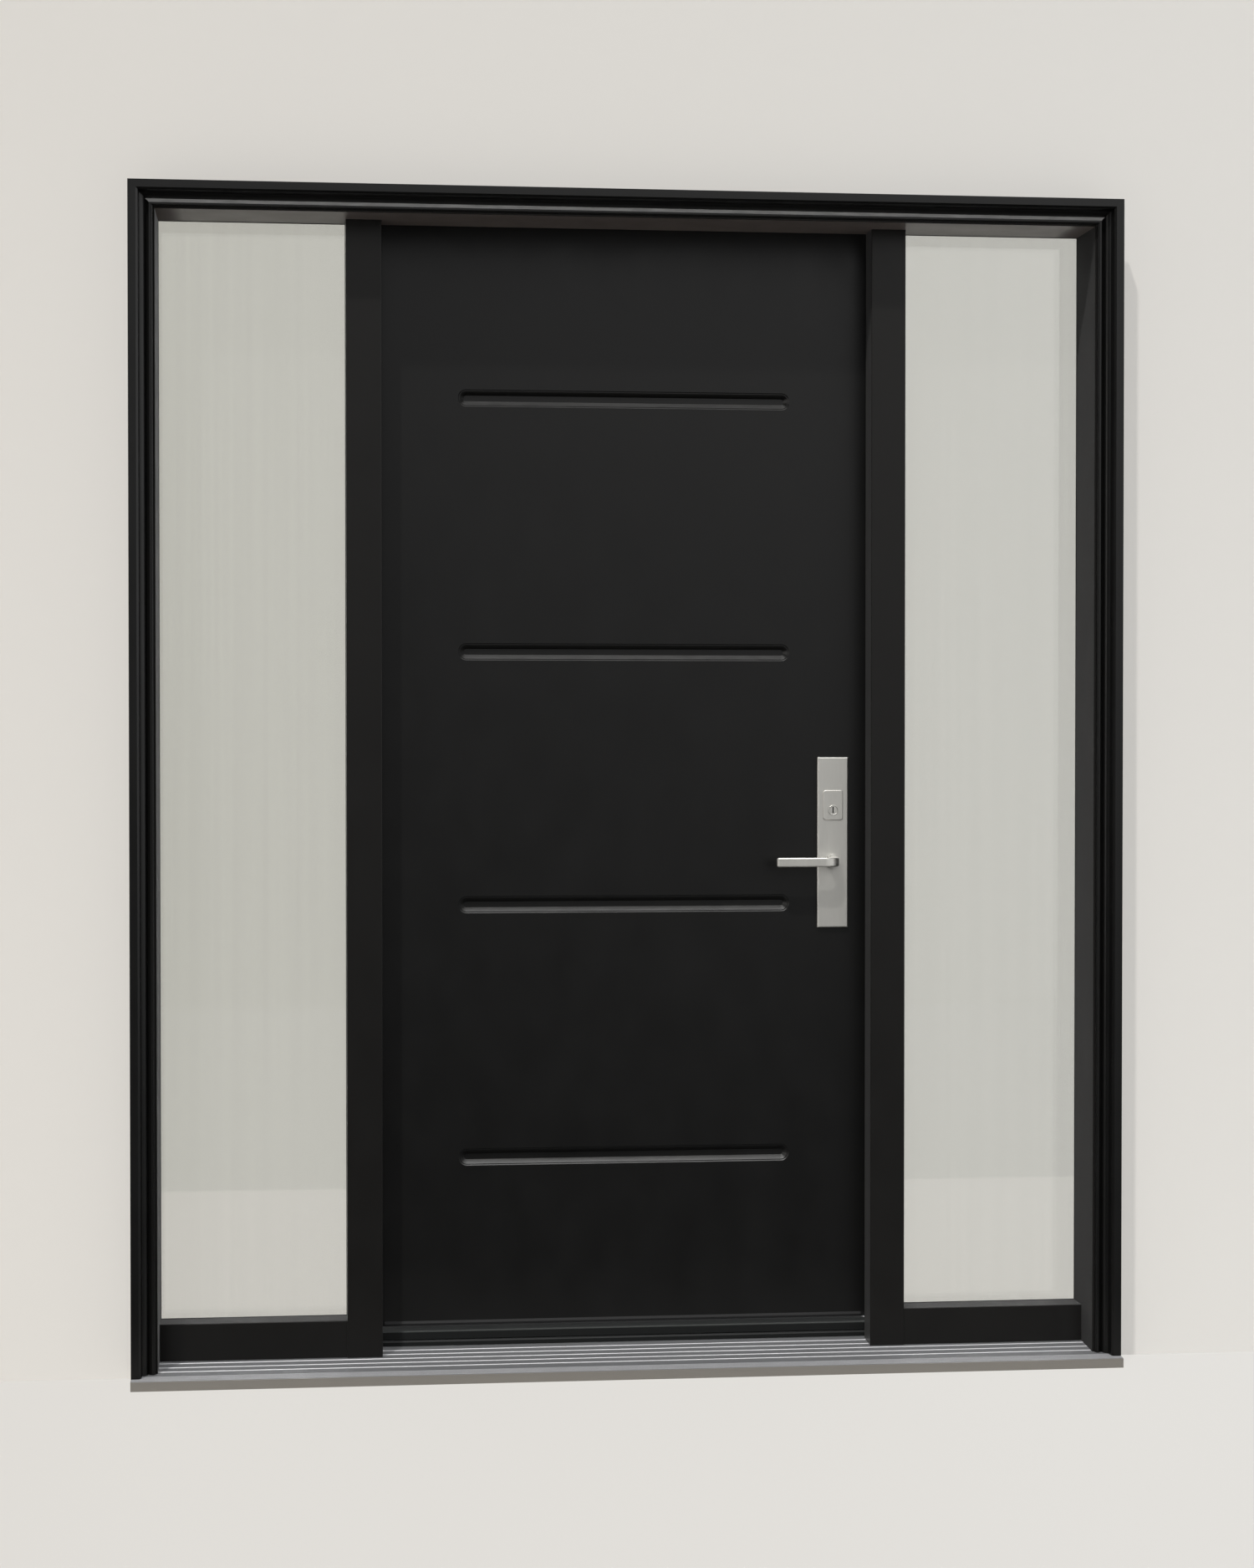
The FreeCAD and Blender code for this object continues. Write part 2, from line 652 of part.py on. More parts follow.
def build_skin(name, face):
    """Face of the slab with its row of sunk grooves: a stepped rim outside, plain flanks inside."""
    skin = new_body(name)
    start, end = (SLAB_FRONT, CORE_FRONT) if face == EXTERIOR else (CORE_BACK, SLAB_BACK)
    hinge = f"-1 * {SLAB_HALF}"
    section = [(hinge, start), (lock_edge(start), start), (lock_edge(end), end), (hinge, end)]
    pad(skin, "XY_Plane", [section], SLAB_BOTTOM, SLAB_TOP)
    bore_lock(skin, start, end)

    lowest = f"({SLAB_BOTTOM} + Sheet.groove_bottom_margin)"
    highest = f"({SLAB_TOP} - Sheet.groove_top_margin)"
    half_length, half_height = f"({SLAB_HALF} - Sheet.groove_side_margin)", "(Sheet.groove_height / 2)"
    flank = f"({half_height} - Sheet.groove_floor / 2)"
    corner = f"({flank} + Sheet.groove_floor_corner)"
    mouth = rounded_box("0", lowest, half_length, half_height, corner)
    if face == EXTERIOR:
        shelf = "(Sheet.groove_rim + Sheet.groove_step)"
        inner = [f"({size} - {shelf})" for size in (half_length, half_height, corner)]
        channel = rounded_box("0", lowest, *inner)
        channel_depth = "(Sheet.groove_depth - Sheet.groove_rim)"
        cuts = [
            sink(skin, mouth, face, "0", "Sheet.groove_rim", "Sheet.groove_rim"),
            sink(skin, channel, face, "Sheet.groove_rim", channel_depth, f"{flank} - {shelf}"),
        ]
    else:
        cuts = [sink(skin, mouth, face, "0", "Sheet.groove_depth", flank)]
    row = skin.newObject("PartDesign::LinearPattern", f"{name}_row")
    row.Originals = cuts
    row.Direction = (cuts[0].Profile[0], ["V_Axis"])
    row.setExpression("Length", f"{highest} - {lowest}")
    row.Occurrences = GROOVE_COUNT
    skin.Tip = row
    return skin


def build_slab_frame():
    """Stiles, rails and insulating core between the skins."""
    inner_hinge = f"(Sheet.hinge_stile_width - {SLAB_HALF})"
    inner_lock = f"({SLAB_HALF} - Sheet.lock_stile_width)"
    low, high = SLAB_BOTTOM, SLAB_TOP
    core_low = f"({low} + Sheet.door_rail_height)"
    core_high = f"({high} - Sheet.door_rail_height)"

    hinge_stile = new_body("hinge_stile")
    section = rectangle(f"(-1 * {SLAB_HALF})", inner_hinge, CORE_FRONT, CORE_BACK)
    pad(hinge_stile, "XY_Plane", [section], low, high)

    lock_stile = new_body("lock_stile")
    edge_front, edge_back = lock_edge(CORE_FRONT), lock_edge(CORE_BACK)
    bevelled = [
        (inner_lock, CORE_FRONT),
        (edge_front, CORE_FRONT),
        (edge_back, CORE_BACK),
        (inner_lock, CORE_BACK),
    ]
    pad(lock_stile, "XY_Plane", [bevelled], low, high)
    bore_lock(lock_stile, CORE_FRONT, CORE_BACK)

    between = rectangle(inner_hinge, inner_lock, CORE_FRONT, CORE_BACK)
    for name, start, end in (
        ("door_bottom_rail", low, core_low),
        ("door_core", core_low, core_high),
        ("door_top_rail", core_high, high),
    ):
        pad(new_body(name), "XY_Plane", [between], start, end)
    return hinge_stile, lock_stile


def build_sweep():
    """Flexible strip under the slab, with a lip in front of the door's face that stops short of the posts."""
    sweep = new_body("door_sweep")
    low, fin_back = SWEEP_BOTTOM, f"({SLAB_FRONT} + Sheet.sweep_fin)"
    root = f"({SLAB_BOTTOM} - Sheet.sweep_fin)"
    channel = [
        (SLAB_FRONT, low),
        (fin_back, low),
        (fin_back, root),
        (f"({SLAB_BACK} - Sheet.sweep_fin)", root),
        (f"({SLAB_BACK} - Sheet.sweep_fin)", low),
        (SLAB_BACK, low),
        (SLAB_BACK, SLAB_BOTTOM),
        (SLAB_FRONT, SLAB_BOTTOM),
    ]
    half = f"({SLAB_HALF} - Sheet.sweep_inset)"
    pad(sweep, "YZ_Plane", [channel], f"-1 * {half}", half)
    lip_front = f"({SLAB_FRONT} - Sheet.sweep_lip)"
    lip = [
        (lip_front, low),
        (fin_back, low),
        (fin_back, SLAB_BOTTOM),
        (SLAB_FRONT, SLAB_BOTTOM),
        (lip_front, f"({low} + Sheet.sweep_lip_height)"),
    ]
    half = f"({DOOR_SIDE} - Sheet.edge_gap)"
    pad(sweep, "YZ_Plane", [lip], f"-1 * {half}", half)


def plate_outline():
    """Outline of the lock set's long plates."""
    half = "Sheet.plate_width / 2"
    top = f"({PLATE_BOTTOM} + Sheet.plate_height)"
    return rectangle(f"({LOCK_X} - {half})", f"({LOCK_X} + {half})", PLATE_BOTTOM, top)


def build_plate(name, face):
    """Long plate with an eased front edge and holes for spindle and cylinder."""
    plate = new_body(name)
    seat, front = off_slab(face, "0"), off_slab(face, "Sheet.plate_thickness")
    start, end = (front, seat) if face == EXTERIOR else (seat, front)
    pad(plate, "XZ_Plane", [plate_outline()], start, end)
    front_y = value(front)

    def on_front(edge):
        return all(abs(vertex.Y - front_y) < TOUCH for vertex in edge.Vertexes)

    dress(plate, "Chamfer", "Sheet.plate_edge", on_front)
    plug = "Sheet.plug_radius" if face == EXTERIOR else "Sheet.tailpiece_radius"
    holes = [
        (LOCK_X, LEVER_Z, "(Sheet.spindle_radius + Sheet.pin_clearance)"),
        (LOCK_X, KEY_Z, f"({plug} + Sheet.pin_clearance)"),
    ]
    pocket(plate, "XZ_Plane", holes, start, end)


def build_cylinder_cover():
    """Raised rounded cover on the plate, with a rim round the key plug."""
    cover = new_body("cylinder_cover")
    seat = off_slab(EXTERIOR, "Sheet.plate_thickness")
    front = off_slab(EXTERIOR, "Sheet.plate_thickness + Sheet.cover_thickness")
    rim_front = f"({front} - Sheet.key_rim_height)"
    halves = ("(Sheet.cover_width / 2)", "(Sheet.cover_height / 2)")
    pad(cover, "XZ_Plane", [rounded_box(LOCK_X, COVER_Z, *halves, "Sheet.cover_corner")], front, seat)
    front_y = value(front)

    def on_front(edge):
        return all(abs(vertex.Y - front_y) < TOUCH for vertex in edge.Vertexes)

    dress(cover, "Chamfer", "Sheet.cover_edge", on_front)
    pad(cover, "XZ_Plane", [(LOCK_X, KEY_Z, "Sheet.key_rim_radius")], rim_front, front)
    hole = (LOCK_X, KEY_Z, "(Sheet.plug_radius + Sheet.pin_clearance)")
    pocket(cover, "XZ_Plane", [hole], rim_front, seat)


def build_cylinder():
    """Key plug with its tailpiece, and the thumbturn on the inside."""
    plug = new_body("key_plug")
    front = off_slab(EXTERIOR, "Sheet.plate_thickness + Sheet.cover_thickness")
    shoulder = off_slab(EXTERIOR, "0")
    turn_seat = off_slab(INTERIOR, "Sheet.plate_thickness + Sheet.pin_clearance")
    centre = (LOCK_X, KEY_Z)
    pad(plug, "XZ_Plane", [(*centre, "Sheet.plug_radius")], front, shoulder)
    pad(plug, "XZ_Plane", [(*centre, "Sheet.tailpiece_radius")], shoulder, turn_seat)
    half_width, half_height = "Sheet.key_slot_width / 2", "Sheet.key_slot_height / 2"
    key_slot = rectangle(
        f"({LOCK_X} - {half_width})",
        f"({LOCK_X} + {half_width})",
        f"({KEY_Z} - {half_height})",
        f"({KEY_Z} + {half_height})",
    )
    pocket(plug, "XZ_Plane", [key_slot], front, f"({front} + Sheet.key_slot_depth)")

    turn = new_body("thumbturn")
    rose_front = f"({turn_seat} + Sheet.turn_base)"
    pad(turn, "XZ_Plane", [(*centre, "Sheet.turn_radius")], turn_seat, rose_front)
    grip_end = f"({rose_front} + Sheet.turn_grip_reach)"
    halves = ("(Sheet.turn_grip_width / 2)", "(Sheet.turn_grip_length / 2)")
    pad(turn, "XZ_Plane", [rounded_box(*centre, *halves, "Sheet.turn_grip_round")], rose_front, grip_end)


def build_lever(name, face):
    """Flat bar lever that bends back into a round collar on its plate."""
    lever = new_body(name)
    height = LEVER_Z
    seat = off_slab(face, "Sheet.plate_thickness + Sheet.pin_clearance")
    collar_front = off_slab(face, "Sheet.plate_thickness + Sheet.collar_length")
    bar_front = off_slab(face, "Sheet.plate_thickness + Sheet.lever_standoff")
    bar_back = off_slab(face, "Sheet.plate_thickness + Sheet.lever_standoff - Sheet.lever_bar_thickness")
    tip = f"({LOCK_X} - Sheet.lever_reach)"
    neck_left = f"({LOCK_X} - Sheet.lever_neck / 2)"
    neck_right = f"({LOCK_X} + Sheet.lever_neck / 2)"
    inner_radius = "(Sheet.lever_bend_radius - Sheet.lever_bar_thickness)"
    bend_start = off_slab(face, "Sheet.plate_thickness + Sheet.lever_standoff - Sheet.lever_bend_radius")
    shape = [
        (tip, bar_front),
        (f"({neck_right} - Sheet.lever_bend_radius)", bar_front, "Sheet.lever_bend_radius", -face),
        (neck_right, bend_start),
        (neck_right, collar_front),
        (neck_left, collar_front),
        (neck_left, bend_start, inner_radius, face),
        (f"({neck_left} - {inner_radius})", bar_back),
        (tip, bar_back),
    ]
    half_bar = "Sheet.lever_bar_height / 2"
    pad(lever, "XY_Plane", [shape], f"({height} - {half_bar})", f"({height} + {half_bar})")
    collar_y = value(collar_front)

    def off_collar(edge):
        return all(abs(vertex.Y - collar_y) > TOUCH for vertex in edge.Vertexes)

    dress(lever, "Chamfer", "Sheet.lever_edge", off_collar)
    start, end = (collar_front, seat) if face == EXTERIOR else (seat, collar_front)
    pad(lever, "XZ_Plane", [(LOCK_X, height, "Sheet.collar_radius")], start, end)
    if face == EXTERIOR:
        far_seat = off_slab(INTERIOR, "Sheet.plate_thickness + Sheet.pin_clearance")
        pad(lever, "XZ_Plane", [(LOCK_X, height, "Sheet.spindle_radius")], seat, far_seat)


def edge_outline(height, half_height, half_width):
    """Outline on the slab's lock edge, about the middle of its thickness."""
    return rectangle(
        f"({SLAB_MIDDLE} - {half_width})",
        f"({SLAB_MIDDLE} + {half_width})",
        f"({height} - {half_height})",
        f"({height} + {half_height})",
    )


def build_lock_edge(lock_stile, mullion):
    """Faceplate and bolts let into the slab's lock edge, and the strike let into the mullion."""
    middle = f"(({LEVER_Z} + {KEY_Z}) / 2)"
    outer = edge_outline(middle, "Sheet.faceplate_height / 2", "Sheet.faceplate_width / 2")
    flush = f"({SLAB_HALF} - Sheet.lock_bevel)"
    floor = f"({flush} - Sheet.faceplate_thickness)"
    pocket(lock_stile, "YZ_Plane", [outer], floor, SLAB_HALF)
    faceplate = new_body("lock_faceplate")
    pad(faceplate, "YZ_Plane", [outer], floor, flush)
    deep = f"({DOOR_RABBET} + Sheet.faceplate_thickness)"
    pocket(mullion, "YZ_Plane", [outer], DOOR_RABBET, deep)
    strike = new_body("strike_plate")
    pad(strike, "YZ_Plane", [outer], DOOR_RABBET, deep)

    for name, height, size in (("latch_bolt", LEVER_Z, "latch"), ("dead_bolt", KEY_Z, "bolt")):
        half_height, half_width = f"Sheet.{size}_height / 2", "Sheet.latch_width / 2"
        tail = f"({flush} - Sheet.bolt_length)"
        bolt = edge_outline(height, half_height, half_width)
        pad(new_body(name), "YZ_Plane", [bolt], tail, flush)
        pocket(lock_stile, "YZ_Plane", [bolt], tail, floor)
        loose, keep = (
            edge_outline(height, f"({half_height} + {gap})", f"({half_width} + {gap})")
            for gap in ("Sheet.bolt_clearance", "Sheet.keep_clearance")
        )
        pocket(faceplate, "YZ_Plane", [loose], floor, flush)
        pocket(strike, "YZ_Plane", [keep], DOOR_RABBET, deep)


def build_hinge(name, height, slab_pieces, mullion):
    """Butt hinge with its leaves let into the slab's edge and the mullion."""
    low = f"({height} - Sheet.leaf_height / 2)"
    high = f"({height} + Sheet.leaf_height / 2)"
    near, corner = f"({BACK} - Sheet.leaf_width)", "Sheet.leaf_corner"
    leaf = [
        (f"({near} + {corner})", low),
        (BACK, low),
        (BACK, high),
        (f"({near} + {corner})", high, corner, 1),
        (near, f"({high} - {corner})"),
        (near, f"({low} + {corner})", corner, 1),
    ]
    knuckle = f"(Sheet.leaf_height / {KNUCKLE_COUNT})"
    for owner, carriers, inner, direction in (
        ("frame", [mullion], f"(-1 * {DOOR_RABBET})", -1),
        ("door", slab_pieces, f"(-1 * {SLAB_HALF})", 1),
    ):
        outer = f"({inner} + {direction} * Sheet.leaf_thickness)"
        span = (outer, inner) if direction < 0 else (inner, outer)
        for carrier in carriers:
            pocket(carrier, "YZ_Plane", [leaf], *span)
        body = new_body(f"{name}_hinge_{owner}_leaf")
        pad(body, "YZ_Plane", [leaf], *span)
        pad(body, "XY_Plane", [rectangle(*span, f"({BACK} - Sheet.leaf_thickness)", HINGE_Y)], low, high)
        pad(body, "XY_Plane", [(HINGE_X, HINGE_Y, KNUCKLE_RADIUS)], low, high)
        gaps = []
        for number in range(KNUCKLE_COUNT):
            if (number % 2 == 0) == (owner == "frame"):
                continue
            bottom = f"({low} + {number} * {knuckle} - Sheet.knuckle_gap / 2)"
            top = f"({low} + {number + 1} * {knuckle} + Sheet.knuckle_gap / 2)"
            gaps.append(rectangle(BACK, f"({HINGE_Y} + 2 * {KNUCKLE_RADIUS})", bottom, top))
        reach = f"(2 * {KNUCKLE_RADIUS})"
        pocket(body, "YZ_Plane", gaps, f"({HINGE_X} - {reach})", f"({HINGE_X} + {reach})")
        if owner == "frame":
            pad(body, "XY_Plane", [(HINGE_X, HINGE_Y, "Sheet.pin_radius")], low, high)
        else:
            bore = (HINGE_X, HINGE_Y, "(Sheet.pin_radius + Sheet.pin_clearance)")
            pocket(body, "XY_Plane", [bore], low, high)


build_sill()
build_threshold()
build_head()
build_casing_head()
left_mullion = build_mullion("left_mullion", -1)
right_mullion = build_mullion("right_mullion", 1)
for name, side in (("left", -1), ("right", 1)):
    build_jamb(f"{name}_jamb", side)
    build_casing_leg(f"{name}_casing", side)
    build_sidelight(f"{name}_sidelight", side)
build_weatherstrip()

build_skin("exterior_skin", EXTERIOR)
interior_skin = build_skin("interior_skin", INTERIOR)
for name, face in (("exterior", EXTERIOR), ("interior", INTERIOR)):
    build_plate(f"{name}_plate", face)
    build_lever(f"{name}_lever", face)
hinge_stile, lock_stile = build_slab_frame()
build_sweep()
build_cylinder_cover()
build_cylinder()
build_lock_edge(lock_stile, right_mullion)
for name, height in (
    ("upper", UPPER_HINGE),
    ("middle", f"(({UPPER_HINGE} + {LOWER_HINGE}) / 2)"),
    ("lower", LOWER_HINGE),
):
    build_hinge(name, height, [hinge_stile, interior_skin], left_mullion)

doc.recompute()
for item in doc.Objects:
    if any(word in item.State for word in ("Invalid", "Error")):
        raise RuntimeError(f"{item.Label} failed: {item.State}")
    if item.TypeId == "PartDesign::Pocket" and item.Shape.Volume >= item.BaseFeature.Shape.Volume - TOUCH:
        raise RuntimeError(f"{item.Label} cuts nothing")
bodies = [item for item in doc.Objects if item.TypeId == "PartDesign::Body"]
for body in bodies:
    if body.Shape.isNull() or not body.Shape.isValid() or len(body.Shape.Solids) != 1:
        raise RuntimeError(f"{body.Label} is not one valid solid")
os.makedirs("parts", exist_ok=True)
for body in bodies:
    body.Shape.exportStep(f"parts/{body.Label}.step")
    box = body.Shape.BoundBox
    print(f"{body.Label}: {body.Shape.Volume / 1000:.1f} cm3, X {box.XMin:.2f} {box.XMax:.2f}, "
          f"Y {box.YMin:.2f} {box.YMax:.2f}, Z {box.ZMin:.2f} {box.ZMax:.2f}")
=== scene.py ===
"""Looks of a front entrance: black frame and grooved door, clear sidelights, ribbed sill, nickel lock set.

Metres. X runs to the right seen from outside, Y into the building, Z up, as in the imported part.
"""
from __future__ import annotations

import json
import logging
import math
from dataclasses import dataclass, field
from enum import Enum
from typing import Sequence

import bpy
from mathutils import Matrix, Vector

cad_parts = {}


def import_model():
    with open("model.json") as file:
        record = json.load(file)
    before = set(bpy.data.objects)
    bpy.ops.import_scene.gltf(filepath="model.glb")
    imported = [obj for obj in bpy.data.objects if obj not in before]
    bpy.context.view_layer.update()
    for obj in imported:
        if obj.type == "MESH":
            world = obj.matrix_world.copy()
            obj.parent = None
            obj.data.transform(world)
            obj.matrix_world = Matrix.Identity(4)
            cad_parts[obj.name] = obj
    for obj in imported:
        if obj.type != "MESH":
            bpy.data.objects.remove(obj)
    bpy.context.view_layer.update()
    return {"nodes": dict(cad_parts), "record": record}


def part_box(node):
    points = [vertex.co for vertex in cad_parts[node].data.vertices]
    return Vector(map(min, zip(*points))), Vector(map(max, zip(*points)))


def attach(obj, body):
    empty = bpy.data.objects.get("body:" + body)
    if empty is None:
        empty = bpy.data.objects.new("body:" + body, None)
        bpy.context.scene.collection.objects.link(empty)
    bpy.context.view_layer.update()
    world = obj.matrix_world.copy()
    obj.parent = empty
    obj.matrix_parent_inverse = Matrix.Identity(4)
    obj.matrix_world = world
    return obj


LOG = logging.getLogger("entrance")
Colour = tuple[float, float, float]
Triple = tuple[float, float, float]
Span = tuple[float, float]
Socket = bpy.types.NodeSocket
Tone = Colour | Socket
GRAIN_STRENGTH = 0.3


class Body(str, Enum):
    """Bodies that the added pieces move with."""

    FRAME = "frame"
    DOOR = "door"
    CYLINDER = "lock_cylinder"


class Slot(str, Enum):
    """Material slots that the added pieces take their finish from."""

    NICKEL = "satin_nickel"
    RUBBER = "black_rubber"


class Facing(Enum):
    """Directions of the part's frame."""

    LEFT = (-1.0, 0.0, 0.0)
    RIGHT = (1.0, 0.0, 0.0)
    INWARD = (0.0, 1.0, 0.0)
    UP = (0.0, 0.0, 1.0)
    DOWN = (0.0, 0.0, -1.0)


class Reading(str, Enum):
    """What a pattern reads where it lies on a piece."""

    PLACE = "Object"
    NORMAL = "Normal"


class Side(str, Enum):
    """Sidelights, seen from outside."""

    LEFT = "left"
    RIGHT = "right"


class Drive(Enum):
    """What a fastener's head is turned by."""

    CROSS = "cross recess"
    NONE = "plain"


# Finishes


class Nodes:
    """Node tree with short ways to add nodes and to join them."""

    def __init__(self, tree: bpy.types.NodeTree) -> None:
        """Takes over a tree and empties it.

        Args:
            tree: the tree to fill.
        """
        self.tree = tree
        self.tree.nodes.clear()

    def add(self, kind: str, **settings: object) -> bpy.types.Node:
        """Adds a node.

        Args:
            kind: the node's type name.
            settings: properties to set on it.

        Returns:
            The new node.
        """
        node = self.tree.nodes.new(kind)
        for key, setting in settings.items():
            setattr(node, key, setting)
        return node

    def link(self, source: Socket, target: Socket) -> None:
        """Joins an output to an input."""
        self.tree.links.new(source, target)


class Graph(Nodes):
    """Nodes of one material round a single surface shader."""

    def __init__(self, name: str) -> None:
        """Starts an empty material.

        Args:
            name: the finish's name.
        """
        self.material = bpy.data.materials.new(name)
        self.material.use_nodes = True
        super().__init__(self.material.node_tree)
        self.surface = self.add("ShaderNodeBsdfPrincipled")
        self.output = self.add("ShaderNodeOutputMaterial")
        self.link(self.surface.outputs["BSDF"], self.output.inputs["Surface"])

    def constants(self, values: dict[str, object]) -> None:
        """Sets plain values on the surface shader's own sockets."""
        for name, value in values.items():
            self.surface.inputs[name].default_value = value

    def drive(self, name: str, source: Socket) -> None:
        """Links a pattern to one of the surface shader's sockets."""
        self.link(source, self.surface.inputs[name])

    def read(self, reading: Reading) -> Socket:
        """A point's place in metres, or the way that the surface faces there."""
        return self.add("ShaderNodeTexCoord").outputs[reading.value]

    def along(self, reading: Reading, direction: Triple) -> Socket:
        """How far a point or its normal goes along a direction.

        Args:
            reading: the point's place or its normal.
            direction: the direction to measure along.

        Returns:
            The distance, or the cosine for a normal.
        """
        node = self.add("ShaderNodeVectorMath", operation="DOT_PRODUCT")
        node.inputs[1].default_value = direction
        self.link(self.read(reading), node.inputs[0])
        return node.outputs["Value"]

    def noise(self, frequency: Triple, detail: float = 2.0) -> Socket:
        """Noise that can be stretched into a grain, the same in every run.

        Args:
            frequency: waves per metre along X, Y and Z.
            detail: octaves.

        Returns:
            The noise from 0 to 1.
        """
        mapping = self.add("ShaderNodeMapping")
        mapping.inputs["Scale"].default_value = frequency
        self.link(self.read(Reading.PLACE), mapping.inputs["Vector"])
        texture = self.add("ShaderNodeTexNoise")
        texture.inputs["Scale"].default_value = 1.0
        texture.inputs["Detail"].default_value = detail
        self.link(mapping.outputs["Vector"], texture.inputs["Vector"])
        return texture.outputs["Fac"]

    def spread(
        self, source: Socket, low: float, high: float, start: float = 0.25, end: float = 0.75,
    ) -> Socket:
        """Maps a pattern onto a range of values.

        Args:
            source: the pattern.
            low: value at the range's start.
            high: value at its end.
            start: pattern value that gives low.
            end: pattern value that gives high.

        Returns:
            The mapped value, held between low and high.
        """
        node = self.add("ShaderNodeMapRange")
        self.link(source, node.inputs["Value"])
        for name, value in (("From Min", start), ("From Max", end), ("To Min", low), ("To Max", high)):
            node.inputs[name].default_value = value
        return node.outputs["Result"]

    def tones(self, factor: Socket, first: Tone, second: Tone) -> Socket:
        """Colour between two tones.

        Args:
            factor: 0 for the first tone, 1 for the second.
            first: linear colour, or a socket that gives one.
            second: linear colour, or a socket that gives one.

        Returns:
            The mixed colour.
        """
        node = self.add("ShaderNodeMix", data_type="RGBA")
        sockets = [socket for socket in node.inputs if socket.type == "RGBA"]
        for socket, tone in zip(sockets, (first, second)):
            if isinstance(tone, Socket):
                self.link(tone, socket)
            else:
                socket.default_value = (*tone, 1.0)
        self.link(factor, node.inputs["Factor"])
        return next(socket for socket in node.outputs if socket.type == "RGBA")

    def around(self, source: Socket, middle: float, spread: Span) -> Socket:
        """Maps a pattern onto the values round a middle one.

        Args:
            source: the pattern.
            middle: the value to spread round.
            spread: how far the values go below and above it.

        Returns:
            The mapped value.
        """
        below, above = spread
        return self.spread(source, middle - below, middle + above)

    def vary(self, source: Socket, colour: Colour, contrast: float) -> Socket:
        """A colour that a pattern makes darker and lighter."""
        return self.tones(source, shade(colour, 1.0 - contrast), shade(colour, 1.0 + contrast))

    def math(self, operation: str, first: Socket, second: Socket | float) -> Socket:
        """Works out a pattern and holds it between 0 and 1.

        Args:
            operation: the Math node's operation.
            first: the pattern.
            second: a number or another pattern.

        Returns:
            The result.
        """
        node = self.add("ShaderNodeMath", operation=operation, use_clamp=True)
        self.link(first, node.inputs[0])
        if isinstance(second, Socket):
            self.link(second, node.inputs[1])
        else:
            node.inputs[1].default_value = second
        return node.outputs["Value"]

    def relief(self, height: Socket, depth: float, strength: float) -> None:
        """Bumps the surface.

        Args:
            height: pattern from 0 to 1.
            depth: height of the relief in metres.
            strength: share of the bump that shows.
        """
        node = self.add("ShaderNodeBump")
        node.inputs["Strength"].default_value = strength
        node.inputs["Distance"].default_value = depth
        self.link(height, node.inputs["Height"])
        self.drive("Normal", node.outputs["Normal"])


def shade(colour: Colour, factor: float) -> Colour:
    """A colour made lighter or darker."""
    red, green, blue = colour
    return red * factor, green * factor, blue * factor


@dataclass(frozen=True)
class Paint:
    """Sprayed satin paint with a faint orange peel, dust and a painted highlight on its ledges, painted
    bounce light on faces that look down, and a duller outer side.
    """

    name: str
    colour: Colour
    # Painted highlight mixed with dust, on ledges that look out and up
    dust_and_highlight: Colour
    # Painted bounce light on faces that look down
    painted_bounce: Colour
    # Gloss, duller on the outer side and on ledges
    roughness: float = 0.34
    specular: float = 0.25
    sheen: float = 0.0
    sheen_roughness: float = 0.4
    weathering: float = 0.0
    outer_side: Span = (0.8, 0.84)
    ledge_dullness: float = 0.0
    facing_up: Span = (0.3, 0.7)
    # Dust and a painted highlight on slopes that look out and up, and painted bounce light below
    ledge_facing: Triple = (0.0, -0.75, 0.66)
    ledge: Span = (0.8, 0.95)
    specks: Triple = (30.0, 160.0, 160.0)
    thinnest_dust_and_highlight: float = 0.6
    facing_down: Span = (-0.95, -0.8)
    # Unevenness of the coat
    clouds: Triple = (2.6, 2.6, 1.4)
    cloud_contrast: float = 0.14
    mottle: Triple = (14.0, 14.0, 9.0)
    mottle_spread: Span = (0.04, 0.04)
    peel: float = 420.0
    peel_depth: float = 0.00012
    peel_strength: float = 0.35

    def make(self) -> bpy.types.Material:
        """Builds the material.

        Returns:
            The paint, with its roughness driven by mottling, weathering and dust.
        """
        graph = Graph(self.name)
        graph.constants({
            "Specular IOR Level": self.specular,
            "Sheen Weight": self.sheen,
            "Sheen Roughness": self.sheen_roughness,
        })
        graph.drive("Base Color", self.tone(graph))
        gloss = graph.around(graph.noise(self.mottle, detail=4.0), self.roughness, self.mottle_spread)
        aside = graph.math("ABSOLUTE", graph.along(Reading.PLACE, Facing.RIGHT.value), 0.0)
        duller = graph.spread(aside, 0.0, self.weathering, *self.outer_side)
        upright = graph.along(Reading.NORMAL, Facing.UP.value)
        dusty = graph.spread(upright, 0.0, self.ledge_dullness, *self.facing_up)
        graph.drive("Roughness", graph.math("ADD", gloss, graph.math("ADD", duller, dusty)))
        peel = graph.noise((self.peel, self.peel, self.peel), detail=1.0)
        graph.relief(peel, self.peel_depth, self.peel_strength)
        return graph.material

    def tone(self, graph: Graph) -> Socket:
        """Clouded paint, with dust and a painted highlight where it slopes out, and painted bounce light
        where it faces down.

        Args:
            graph: the material's nodes.

        Returns:
            The colour.
        """
        paint = graph.vary(graph.noise(self.clouds, detail=3.0), self.colour, self.cloud_contrast)
        sloping = graph.spread(graph.along(Reading.NORMAL, self.ledge_facing), 0.0, 1.0, *self.ledge)
        specks = graph.spread(graph.noise(self.specks, detail=3.0), self.thinnest_dust_and_highlight, 1.0)
        # Painted highlight mixed with dust, speckled, on ledges that look out and up
        dust_and_highlight_mask = graph.math("MULTIPLY", sloping, specks)
        upright = graph.along(Reading.NORMAL, Facing.UP.value)
        # Painted bounce light where the surface faces down
        bounce_mask = graph.spread(upright, 1.0, 0.0, *self.facing_down)
        return graph.tones(bounce_mask, graph.tones(dust_and_highlight_mask, paint, self.dust_and_highlight), self.painted_bounce)


